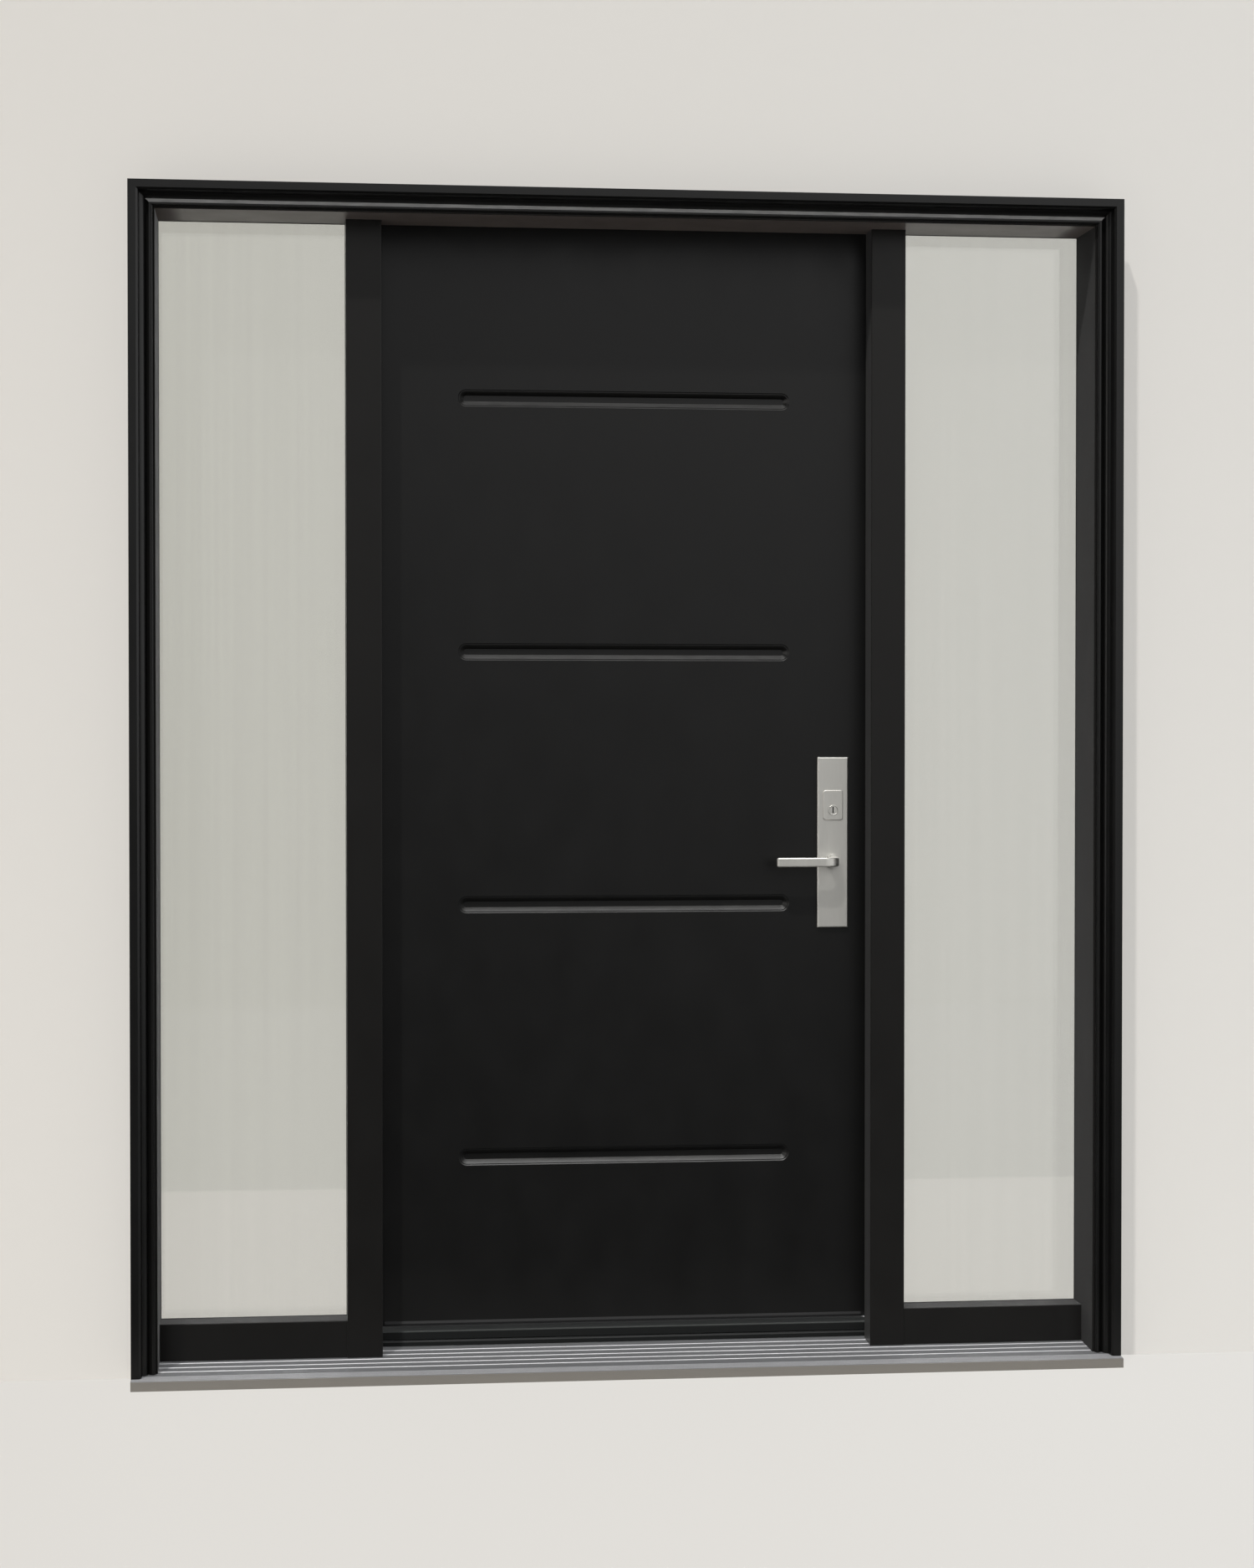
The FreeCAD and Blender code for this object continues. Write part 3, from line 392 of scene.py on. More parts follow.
@dataclass(frozen=True)
class BrushedMetal:
    """Metal with a fine brushed grain along one direction."""

    name: str
    colour: Colour
    roughness: float
    grain: Triple
    contrast: float
    metallic: float = 0.9
    roughness_spread: Span = (0.05, 0.06)
    grain_depth: float = 0.00004

    def make(self) -> bpy.types.Material:
        """Builds the material.

        Returns:
            The metal, with its colour, roughness and relief driven by the grain.
        """
        graph = Graph(self.name)
        graph.constants({"Metallic": self.metallic})
        grain = graph.noise(self.grain, detail=3.0)
        graph.drive("Base Color", graph.vary(grain, self.colour, self.contrast))
        graph.drive("Roughness", graph.around(grain, self.roughness, self.roughness_spread))
        graph.relief(grain, self.grain_depth, GRAIN_STRENGTH)
        return graph.material


@dataclass(frozen=True)
class RibbedDeck:
    """Mill-finish deck whose rib crests are rubbed bright and carry a painted highlight, with a painted
    reflection of the floor on its nose.
    """

    name: str
    colour: Colour
    crest: Colour
    # Painted reflection of the warm floor on the nose's front face
    nose: Colour
    slope: float
    nose_top: float
    nose_front: float
    rib_height: float
    metallic: float = 0.2
    roughness: float = 0.46
    roughness_spread: Span = (0.06, 0.08)
    scuffs: Triple = (9.0, 420.0, 420.0)
    scuff_depth: float = 0.00005
    least_wear_and_highlight: float = 0.7
    worn_and_highlit_heights: Span = (0.35, 0.85)
    fine_zone: Span = (0.05, 0.054)
    fine_wear_and_highlight: float = 0.42
    nose_edge: Span = (0.0004, 0.0012)

    def make(self) -> bpy.types.Material:
        """Builds the material.

        Returns:
            The deck's metal, with a painted reflection of the floor on the nose.
        """
        graph = Graph(self.name)
        graph.constants({"Metallic": self.metallic})
        scuffs = graph.noise(self.scuffs, detail=4.0)
        depth = graph.along(Reading.PLACE, Facing.INWARD.value)
        # Rib crests rubbed bright and given a painted highlight
        deck = graph.tones(self.wear_and_highlight(graph, scuffs, depth), self.colour, self.crest)
        # Painted reflection of the warm floor on the nose's front
        front = graph.spread(depth, 1.0, 0.0, *(self.nose_front + edge for edge in self.nose_edge))
        graph.drive("Base Color", graph.tones(front, deck, self.nose))
        graph.drive("Roughness", graph.around(scuffs, self.roughness, self.roughness_spread))
        graph.relief(scuffs, self.scuff_depth, GRAIN_STRENGTH)
        return graph.material

    def wear_and_highlight(self, graph: Graph, scuffs: Socket, depth: Socket) -> Socket:
        """Rubbing and a painted highlight on the rib crests, with less of both on the fine ribs near the
        nose.

        Args:
            graph: the material's nodes.
            scuffs: pattern of the scuffs.
            depth: place along Y.

        Returns:
            How strong the crests' rubbing and painted highlight are, from 0 to 1.
        """
        above = graph.along(Reading.PLACE, (0.0, -self.slope, 1.0))
        flat = self.nose_top - self.rib_height - self.slope * self.nose_front
        start, end = (flat + share * self.rib_height for share in self.worn_and_highlit_heights)
        crest = graph.spread(above, 0.0, 1.0, start, end)
        fine = graph.spread(depth, self.fine_wear_and_highlight, 1.0, *(self.nose_front + zone for zone in self.fine_zone))
        rubbed_and_highlit = graph.spread(scuffs, self.least_wear_and_highlight, 1.0)
        return graph.math("MULTIPLY", crest, graph.math("MULTIPLY", fine, rubbed_and_highlit))


@dataclass(frozen=True)
class Plain:
    """Moulded or cut stuff with a fine matt grain: rubber, foam, composite."""

    name: str
    colour: Colour
    roughness: float
    grain: Triple = (600.0, 600.0, 600.0)
    contrast: float = 0.12
    specular: float = 0.35
    roughness_spread: Span = (0.05, 0.05)
    grain_depth: float = 0.00008

    def make(self) -> bpy.types.Material:
        """Builds the material.

        Returns:
            The stuff, with its colour, roughness and relief driven by the grain.
        """
        graph = Graph(self.name)
        graph.constants({"Specular IOR Level": self.specular})
        grain = graph.noise(self.grain, detail=3.0)
        graph.drive("Base Color", graph.vary(grain, self.colour, self.contrast))
        graph.drive("Roughness", graph.around(grain, self.roughness, self.roughness_spread))
        graph.relief(grain, self.grain_depth, GRAIN_STRENGTH)
        return graph.material


@dataclass(frozen=True)
class TroddenHighlit:
    """Dark threshold with a painted highlight along the front of its upper edge, which feet also make paler.
    """

    name: str
    colour: Colour
    rubbed_and_highlit: Colour
    edge: Span
    roughness: float = 0.5
    roughness_spread: Span = (0.05, 0.05)
    specular: float = 0.12
    grain: Triple = (120.0, 700.0, 700.0)
    grain_depth: float = 0.00008
    contrast: float = 0.12
    facing_out: Span = (-0.7, -0.3)
    least_wear_and_highlight: float = 0.8

    def make(self) -> bpy.types.Material:
        """Builds the material.

        Returns:
            The threshold's finish, paler along the front of its edge.
        """
        graph = Graph(self.name)
        graph.constants({"Specular IOR Level": self.specular})
        grain = graph.noise(self.grain, detail=3.0)
        dark = graph.vary(grain, self.colour, self.contrast)
        # Painted highlight, with wear, on the front of the upper edge
        upper = graph.spread(graph.along(Reading.PLACE, Facing.UP.value), 0.0, 1.0, *self.edge)
        front = graph.spread(graph.along(Reading.NORMAL, Facing.INWARD.value), 1.0, 0.0, *self.facing_out)
        rubbed_and_highlit = graph.spread(grain, self.least_wear_and_highlight, 1.0)
        worn_and_highlit = graph.math("MULTIPLY", graph.math("MULTIPLY", upper, front), rubbed_and_highlit)
        graph.drive("Base Color", graph.tones(worn_and_highlit, dark, self.rubbed_and_highlit))
        graph.drive("Roughness", graph.around(grain, self.roughness, self.roughness_spread))
        graph.relief(grain, self.grain_depth, GRAIN_STRENGTH)
        return graph.material


@dataclass(frozen=True)
class ClearGlass:
    """Float glass with a faint haze and drawn streaks."""

    name: str
    colour: Colour
    haze: float = 0.02
    refraction: float = 1.46
    specular: float = 0.35
    streaks: Triple = (90.0, 1.0, 0.6)
    streak_tone: float = 0.97
    roughness: Span = (0.01, 0.04)

    def make(self) -> bpy.types.Material:
        """Builds the material.

        Returns:
            The glass, with its tint and roughness driven by the streaks.
        """
        graph = Graph(self.name)
        graph.constants({
            "Transmission Weight": 1.0 - self.haze,
            "IOR": self.refraction,
            "Specular IOR Level": self.specular,
        })
        streaks = graph.noise(self.streaks)
        graph.drive("Base Color", graph.tones(streaks, shade(self.colour, self.streak_tone), self.colour))
        graph.drive("Roughness", graph.spread(streaks, *self.roughness))
        return graph.material


@dataclass
class Palette:
    """Every finish of the entrance, by the record's slot."""

    black: Colour = (0.0032, 0.0032, 0.0031)
    deck_slope: float = 0.066
    rib_height: float = 0.001
    nose_height: float = 0.0175
    cap_wear_and_highlight: Span = (0.0078, 0.00585)
    slots: dict[str, bpy.types.Material] = field(default_factory=dict)

    def build(self) -> None:
        """Makes the materials."""
        nose_front, cap_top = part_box("sill_deck")[0].y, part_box("threshold_cap")[1].z
        highlight_start, highlight_full = (cap_top - depth for depth in self.cap_wear_and_highlight)
        finishes = (
            # Frame: its underside tone is painted bounce light that warms the head's soffit
            Paint(
                "black_frame", (0.005, 0.0047, 0.0043), dust_and_highlight=(0.013, 0.0125, 0.012),
                painted_bounce=(0.062, 0.051, 0.047), roughness=0.38, specular=0.2, sheen=0.035,
                weathering=0.62, ledge_dullness=0.57,
            ),
            # Casing: its slope tone is mostly a painted highlight along the head's bead
            Paint("black_casing", self.black, dust_and_highlight=(0.31, 0.31, 0.305), painted_bounce=self.black),
            # Door: its slope tone is a painted highlight on the grooves' lower flanks, with dust
            Paint("black_door", self.black, dust_and_highlight=(0.042, 0.042, 0.0415), painted_bounce=self.black),
            ClearGlass("glass", (0.91, 0.91, 0.895)),
            BrushedMetal(
                "spacer", (0.3, 0.29, 0.265), roughness=0.55, grain=(250.0, 250.0, 250.0), contrast=0.04,
            ),
            RibbedDeck(
                "mill_aluminium", (0.07, 0.072, 0.075), crest=(0.6, 0.6, 0.62), nose=(0.178, 0.168, 0.152),
                slope=self.deck_slope, nose_top=self.nose_height, nose_front=nose_front,
                rib_height=self.rib_height,
            ),
            Plain(
                "sill_substrate", (0.24, 0.19, 0.13), roughness=0.8, grain=(40.0, 160.0, 160.0),
                contrast=0.3,
            ),
            # Threshold: its paler upper front edge is a painted highlight as well as wear
            TroddenHighlit(
                "dark_threshold", (0.0085, 0.0092, 0.0092), rubbed_and_highlit=(0.082, 0.088, 0.085),
                edge=(highlight_start, highlight_full),
            ),
            Plain(Slot.RUBBER.value, (0.0075, 0.0076, 0.0078), roughness=0.6, specular=0.14),
            BrushedMetal(
                Slot.NICKEL.value, (0.5, 0.492, 0.462), roughness=0.4, grain=(900.0, 900.0, 40.0),
                contrast=0.05,
            ),
            Plain("foam", (0.62, 0.55, 0.36), roughness=0.9, grain=(900.0, 900.0, 900.0), contrast=0.2),
        )
        self.slots = {finish.name: finish.make() for finish in finishes}

    def dress(self, record: dict, nodes: dict[str, bpy.types.Object]) -> None:
        """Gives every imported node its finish.

        Args:
            record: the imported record.
            nodes: objects by node name.
        """
        for part in record["subparts"]:
            mesh = nodes[part["node"]].data
            mesh.materials.clear()
            mesh.materials.append(self.slots[part["material_slot"]])


# Added pieces


@dataclass(frozen=True)
class Seat:
    """Where a fastener sits and which way its head looks."""

    place: Vector
    facing: Facing


class Tree(Nodes):
    """Geometry node tree with named inputs."""

    def __init__(self, name: str) -> None:
        """Starts a tree that takes and gives a geometry.

        Args:
            name: the tree's name.
        """
        super().__init__(bpy.data.node_groups.new(name, "GeometryNodeTree"))
        self.sockets: dict[str, str] = {}
        for direction in ("INPUT", "OUTPUT"):
            self.tree.interface.new_socket("Geometry", in_out=direction, socket_type="NodeSocketGeometry")
        self.source = self.add("NodeGroupInput")
        self.result = self.add("NodeGroupOutput")

    def size(self, name: str) -> Socket:
        """Adds a named length input.

        Args:
            name: what the length is.

        Returns:
            The socket that gives it inside the tree.
        """
        made = self.tree.interface.new_socket(name, in_out="INPUT", socket_type="NodeSocketFloat")
        self.sockets[name] = made.identifier
        return self.source.outputs[name]

    def point(self, x: Socket | float, y: Socket | float, z: Socket | float) -> Socket:
        """Vector of numbers or sockets.

        Args:
            x: number or socket.
            y: number or socket.
            z: number or socket.

        Returns:
            The vector's socket.
        """
        node = self.add("ShaderNodeCombineXYZ")
        for socket, part in zip(node.inputs, (x, y, z)):
            if isinstance(part, Socket):
                self.link(part, socket)
            else:
                socket.default_value = part
        return node.outputs["Vector"]

    def close(self, geometry: Socket, finish: bpy.types.Material) -> None:
        """Ends the tree with real geometry in one finish.

        Args:
            geometry: what the tree has made.
            finish: its material.
        """
        real = self.add("GeometryNodeRealizeInstances")
        painted = self.add("GeometryNodeSetMaterial")
        painted.inputs["Material"].default_value = finish
        self.link(geometry, real.inputs["Geometry"])
        self.link(real.outputs["Geometry"], painted.inputs["Geometry"])
        self.link(painted.outputs["Geometry"], self.result.inputs["Geometry"])

    def run(self, seed: bpy.types.Object, sizes: dict[str, float]) -> bpy.types.Object:
        """Runs the tree on an object and keeps the result as its plain mesh.

        Args:
            seed: object that carries the starting geometry.
            sizes: values of the named inputs.

        Returns:
            The same object with the finished mesh.
        """
        modifier = seed.modifiers.new(self.tree.name, "NODES")
        modifier.node_group = self.tree
        for name, value in sizes.items():
            modifier[self.sockets[name]] = value
        bpy.context.view_layer.update()
        evaluated = seed.evaluated_get(bpy.context.evaluated_depsgraph_get())
        mesh = bpy.data.meshes.new_from_object(evaluated)
        mesh.name = seed.name
        seed.modifiers.clear()
        seed.data = mesh
        return seed


def new_object(
    name: str, points: Sequence[Sequence[float]], edges: Sequence[tuple[int, int]] = (),
    faces: Sequence[Sequence[int]] = (),
) -> bpy.types.Object:
    """Mesh object at the origin.

    Args:
        name: the piece's name.
        points: places of the points.
        edges: pairs of points.
        faces: rounds of points, each counter-clockwise seen from outside.

    Returns:
        The linked object.
    """
    mesh = bpy.data.meshes.new(name)
    mesh.from_pydata([tuple(point) for point in points], edges, faces)
    made = bpy.data.objects.new(name, mesh)
    bpy.context.scene.collection.objects.link(made)
    return made


@dataclass(frozen=True)
class Heads:
    """Low round heads of one size, with or without a cross recess."""

    radius: float = 0.0042
    height: float = 0.0005
    edge: float = 0.0006
    recess_width: float = 0.0011
    recess_length: float = 0.0046
    recess_depth: float = 0.0004
    drive: Drive = Drive.CROSS
    sides: int = 24

    def head(self, tree: Tree) -> Socket:
        """Adds one head at the origin, looking up.

        Args:
            tree: the tree to add it to.

        Returns:
            The head's mesh.
        """
        height = tree.size("Height")
        head = tree.add("GeometryNodeMeshCone")
        head.inputs["Vertices"].default_value = self.sides
        tree.link(tree.size("Top Radius"), head.inputs["Radius Top"])
        tree.link(tree.size("Radius"), head.inputs["Radius Bottom"])
        tree.link(height, head.inputs["Depth"])
        if self.drive is Drive.NONE:
            return head.outputs["Mesh"]
        width, length, depth = (tree.size(f"Recess {name}") for name in ("Width", "Length", "Depth"))
        recess = tree.add("GeometryNodeMeshBoolean", operation="DIFFERENCE", solver="EXACT")
        tree.link(head.outputs["Mesh"], recess.inputs["Mesh 1"])
        for size in (tree.point(width, length, depth), tree.point(length, width, depth)):
            bar = tree.add("GeometryNodeMeshCube")
            tree.link(size, bar.inputs["Size"])
            lifted = tree.add("GeometryNodeTransform")
            tree.link(bar.outputs["Mesh"], lifted.inputs["Geometry"])
            tree.link(tree.point(0.0, 0.0, height), lifted.inputs["Translation"])
            tree.link(lifted.outputs["Geometry"], recess.inputs["Mesh 2"])
        return recess.outputs["Mesh"]

    def build(self, name: str, seats: Sequence[Seat], finish: bpy.types.Material) -> bpy.types.Object:
        """Makes one mesh of heads, each along its seat's facing.

        Args:
            name: the piece's name.
            seats: where the heads go.
            finish: their material.

        Returns:
            The finished object.
        """
        seed = new_object(name, [seat.place for seat in seats])
        facing = seed.data.attributes.new("facing", "FLOAT_VECTOR", "POINT")
        for item, seat in zip(facing.data, seats):
            item.vector = seat.facing.value
        tree = Tree(f"{name}_heads")
        named = tree.add("GeometryNodeInputNamedAttribute", data_type="FLOAT_VECTOR")
        named.inputs["Name"].default_value = "facing"
        turn = tree.add("FunctionNodeAlignRotationToVector", axis="Z")
        tree.link(named.outputs["Attribute"], turn.inputs["Vector"])
        spread = tree.add("GeometryNodeInstanceOnPoints")
        tree.link(tree.source.outputs["Geometry"], spread.inputs["Points"])
        tree.link(self.head(tree), spread.inputs["Instance"])
        tree.link(turn.outputs["Rotation"], spread.inputs["Rotation"])
        tree.close(spread.outputs["Instances"], finish)
        sizes = {"Radius": self.radius, "Top Radius": self.radius - self.edge, "Height": self.height}
        if self.drive is Drive.CROSS:
            sizes["Recess Width"] = self.recess_width
            sizes["Recess Length"] = self.recess_length
            # The bars are centred on the head's top, so half of their depth cuts in
            sizes["Recess Depth"] = 2.0 * self.recess_depth
        return tree.run(seed, sizes)


def middle(node: str) -> Vector:
    """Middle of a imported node's box."""
    low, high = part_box(node)
    return (low + high) / 2


def settle(piece: bpy.types.Object, body: Body) -> None:
    """Hands a finished piece to its body and reports it.

    Args:
        piece: the finished object.
        body: what it moves with.
    """
    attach(piece, body.value)
    LOG.info("%s: %d faces on %s", piece.name, len(piece.data.polygons), body.value)


@dataclass
class Hinges:
    """Screws and pin tips of the three butt hinges."""

    names: tuple[str, ...] = ("upper", "middle", "lower")
    screw_heights: tuple[float, ...] = (-0.036, -0.013, 0.013, 0.036)
    near_row: float = 0.009
    far_row: float = 0.02
    knuckle_radius: float = 0.005
    screw: Heads = Heads()
    tip: Heads = Heads(radius=0.0047, height=0.0018, edge=0.0016, drive=Drive.NONE)

    def screw_seats(self, body: Body, face: float, facing: Facing) -> list[Seat]:
        """Screw places on one kind of leaf, staggered in two rows.

        Args:
            body: the frame or the door, which carries the leaves.
            face: where the leaves' open faces lie along X.
            facing: where they look.

        Returns:
            The seats on all hinges.
        """
        seats = []
        ends = (self.screw_heights[0], self.screw_heights[-1])
        for name in self.names:
            node = f"{name}_hinge_{body.value}_leaf"
            front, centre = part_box(node)[0].y, middle(node).z
            for height in self.screw_heights:
                row = self.near_row if height in ends else self.far_row
                seats.append(Seat(Vector((face, front + row, centre + height)), facing))
        return seats

    def tip_seats(self) -> list[Seat]:
        """Ends of the pins, above and below the knuckles.

        Returns:
            The seats on all hinges.
        """
        seats = []
        for name in self.names:
            node = f"{name}_hinge_frame_leaf"
            low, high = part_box(node)
            x, y = middle(node).x, high.y - self.knuckle_radius
            seats.append(Seat(Vector((x, y, high.z)), Facing.UP))
            seats.append(Seat(Vector((x, y, low.z)), Facing.DOWN))
        return seats

    def build(self, finish: bpy.types.Material) -> None:
        """Makes the screws and tips.

        Args:
            finish: their metal.
        """
        rabbet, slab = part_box("hinge_side_seal")[0].x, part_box("hinge_stile")[0].x
        on_frame = self.screw_seats(Body.FRAME, rabbet, Facing.RIGHT)
        on_door = self.screw_seats(Body.DOOR, slab, Facing.LEFT)
        settle(self.screw.build("hinge_frame_screws", on_frame, finish), Body.FRAME)
        settle(self.screw.build("hinge_door_screws", on_door, finish), Body.DOOR)
        settle(self.tip.build("hinge_pin_tips", self.tip_seats(), finish), Body.FRAME)


@dataclass
class LockTrim:
    """Screws of the faceplate, strike and inside plate."""

    end_margin: float = 0.011
    plate_margin: float = 0.016
    screw: Heads = Heads(radius=0.0036, recess_length=0.004, recess_width=0.001)

    def end_seats(self, node: str, face: float, facing: Facing) -> list[Seat]:
        """Seats near both ends of an upright plate.

        Args:
            node: the plate's node.
            face: where its open face lies along X.
            facing: where the face looks.

        Returns:
            The two seats.
        """
        low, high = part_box(node)
        y = middle(node).y
        heights = (low.z + self.end_margin, high.z - self.end_margin)
        return [Seat(Vector((face, y, z)), facing) for z in heights]

    def build(self, finish: bpy.types.Material) -> None:
        """Makes the screws.

        Args:
            finish: their metal.
        """
        strike = self.end_seats("strike_plate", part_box("strike_plate")[0].x, Facing.LEFT)
        on_door = self.end_seats("lock_faceplate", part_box("lock_faceplate")[1].x, Facing.RIGHT)
        low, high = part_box("interior_plate")
        for z in (low.z + self.plate_margin, high.z - self.plate_margin):
            on_door.append(Seat(Vector((middle("interior_plate").x, high.y, z)), Facing.INWARD))
        settle(self.screw.build("strike_screws", strike, finish), Body.FRAME)
        settle(self.screw.build("lock_screws", on_door, finish), Body.DOOR)


@dataclass
class Threshold:
    """Height screws of the threshold cap."""

    places: tuple[float, ...] = (-0.39, -0.13, 0.13, 0.39)
    back_margin: float = 0.009
    screw: Heads = Heads(radius=0.005, height=0.0004)

    def build(self, finish: bpy.types.Material) -> None:
        """Makes the screws.

        Args:
            finish: their metal.
        """
        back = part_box("threshold_cap")[1]
        seats = [Seat(Vector((x, back.y - self.back_margin, back.z)), Facing.UP) for x in self.places]
        settle(self.screw.build("threshold_screws", seats, finish), Body.FRAME)


def tube(name: str, finish: bpy.types.Material, sides: int = 8) -> Tree:
    """Builds the tree that runs a round section along edges.

    Args:
        name: the tree's name.
        finish: the tube's material.
        sides: faces round the section.

    Returns:
        The tree, with its radius as a named input.
    """
    tree = Tree(name)
    radius = tree.size("Radius")
    path = tree.add("GeometryNodeMeshToCurve")
    tree.link(tree.source.outputs["Geometry"], path.inputs["Mesh"])
    section = tree.add("GeometryNodeCurvePrimitiveCircle")
    section.inputs["Resolution"].default_value = sides
    tree.link(radius, section.inputs["Radius"])
    made = tree.add("GeometryNodeCurveToMesh")
    tree.link(path.outputs["Curve"], made.inputs["Curve"])
    tree.link(section.outputs["Curve"], made.inputs["Profile Curve"])
    tree.close(made.outputs["Mesh"], finish)
    return tree


def closed(count: int, start: int = 0) -> list[tuple[int, int]]:
    """Edges of a closed loop of points."""
    return [(start + step, start + (step + 1) % count) for step in range(count)]


@dataclass
class KeyTrim:
    """Raised ring round the key plug, and a dark sheet of painted shade in its key slot."""

    ring_radius: float = 0.0085
    ring_thickness: float = 0.0006
    ring_points: int = 40
    slot_shade_half_width: float = 0.00115
    slot_shade_half_height: float = 0.0058
    slot_shade_setback: float = 0.0003
    slot_shade_depth: float = 0.003
    ward: float = 0.0004
    ward_share: float = 1 / 3

    def ring(self, finish: bpy.types.Material) -> bpy.types.Object:
        """Makes the ring on the cover's face.

        Args:
            finish: its metal.

        Returns:
            The finished object.
        """
        axis, face, radius = middle("key_plug"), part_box("cylinder_cover")[0].y, self.ring_radius
        turns = [math.tau * step / self.ring_points for step in range(self.ring_points)]
        points = [
            Vector((axis.x + radius * math.cos(turn), face, axis.z + radius * math.sin(turn)))
            for turn in turns
        ]
        seed = new_object("key_plug_ring", points, closed(self.ring_points))
        return tube("key_plug_ring", finish).run(seed, {"Radius": self.ring_thickness})

    def slot_shade(self, finish: bpy.types.Material) -> bpy.types.Object:
        """Makes the dark sheet of painted shade just behind the plug's face, notched on one side.

        Args:
            finish: its material.

        Returns:
            The finished object.
        """
        axis, front = middle("key_plug"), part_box("key_plug")[0].y + self.slot_shade_setback
        wide, tall = self.slot_shade_half_width, self.slot_shade_half_height
        reach = self.ward_share * tall
        notch = (wide, -reach), (wide - self.ward, 0.0), (wide, reach)
        outline = (-wide, -tall), (wide, -tall), *notch, (wide, tall), (-wide, tall)
        count, depths = len(outline), (front, front + self.slot_shade_depth)
        points = [Vector((axis.x + x, y, axis.z + z)) for y in depths for x, z in outline]
        faces = [tuple(range(count)), tuple(reversed(range(count, 2 * count)))]
        faces += [(end, start, start + count, end + count) for start, end in closed(count)]
        # Dark sheet that paints the shade in the key slot
        made = new_object("key_slot_shade", points, faces=faces)
        made.data.materials.append(finish)
        return made

    def build(self, metal: bpy.types.Material, dark: bpy.types.Material) -> None:
        """Makes the ring and the sheet of painted shade.

        Args:
            metal: the ring's finish.
            dark: the finish of the sheet of painted shade.
        """
        settle(self.ring(metal), Body.DOOR)
        settle(self.slot_shade(dark), Body.CYLINDER)


@dataclass
class Gaskets:
    """Black glazing seals that show round both faces of each sidelight's glass."""

    radius: float = 0.0014
    bead_width: float = 0.007

    @staticmethod
    def loop(left: float, right: float, low: float, high: float, y: float) -> list[Vector]:
        """Corners of an opening.

        Args:
            left: its left side.
            right: its right side.
            low: its foot.
            high: its head.
            y: the glass face that the seal lies on.

        Returns:
            The four corners.
        """
        return [Vector((x, y, z)) for x, z in ((left, low), (right, low), (right, high), (left, high))]

    def outside(self, side: Side) -> list[Vector]:
        """Corners of the daylight opening on the outer pane.

        Args:
            side: which sidelight.

        Returns:
            The four corners.
        """
        jamb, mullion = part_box(f"{side.value}_jamb"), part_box(f"{side.value}_mullion")
        left, right = sorted((mullion[0].x, jamb[1].x) if side is Side.LEFT else (jamb[0].x, mullion[1].x))
        low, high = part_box(f"{side.value}_sidelight_bottom_rail")[1].z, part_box("head_jamb")[0].z
        return self.loop(left, right, low, high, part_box(f"{side.value}_sidelight_outer_pane")[0].y)

    def inside(self, side: Side) -> list[Vector]:
        """Corners of the opening inside the glazing beads, on the inner pane.

        Args:
            side: which sidelight.

        Returns:
            The four corners.
        """
        low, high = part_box(f"{side.value}_sidelight_glazing_beads")
        rim = self.bead_width
        return self.loop(low.x + rim, high.x - rim, low.z + rim, high.z - rim, low.y)

    def build(self, finish: bpy.types.Material) -> None:
        """Makes one piece of seals for each sidelight.

        Args:
            finish: their rubber.
        """
        for side in Side:
            outside, inside = self.outside(side), self.inside(side)
            edges = closed(len(outside)) + closed(len(inside), start=len(outside))
            seed = new_object(f"{side.value}_glazing_seal", outside + inside, edges)
            made = tube("glazing_seal", finish).run(seed, {"Radius": self.radius})
            settle(made, Body.FRAME)


# Studio


def hang_lamp(data: bpy.types.Light, place: Sequence[float], travel: Vector) -> None:
    """Adds a lamp to the scene.

    Args:
        data: the lamp's light.
        place: where it hangs.
        travel: the way that its light goes.
    """
    lamp = bpy.data.objects.new(data.name, data)
    lamp.location = place
    lamp.rotation_euler = travel.to_track_quat("-Z", "Y").to_euler()
    bpy.context.scene.collection.objects.link(lamp)


@dataclass(frozen=True)
class SoftBox:
    """One lamp: a flat soft box aimed at a point."""

    name: str
    place: Triple
    aim: Triple
    width: float
    height: float
    power: float
    colour: Colour = (1.0, 1.0, 1.0)

    def hang(self) -> None:
        """Adds the lamp to the scene."""
        data = bpy.data.lights.new(self.name, "AREA")
        data.shape = "RECTANGLE"
        data.size = self.width
        data.size_y = self.height
        data.energy = self.power
        data.color = self.colour
        hang_lamp(data, self.place, Vector(self.aim) - Vector(self.place))


@dataclass(frozen=True)
class Beam:
    """One lamp far away: parallel light of one direction."""

    name: str
    travel: Triple
    strength: float
    spread: float
    shadow: bool = True
    colour: Colour = (1.0, 1.0, 1.0)

    def hang(self) -> None:
        """Adds the lamp to the scene."""
        data = bpy.data.lights.new(self.name, "SUN")
        data.energy = self.strength
        data.angle = self.spread
        data.color = self.colour
        data.use_shadow = self.shadow
        hang_lamp(data, Vector(), Vector(self.travel))


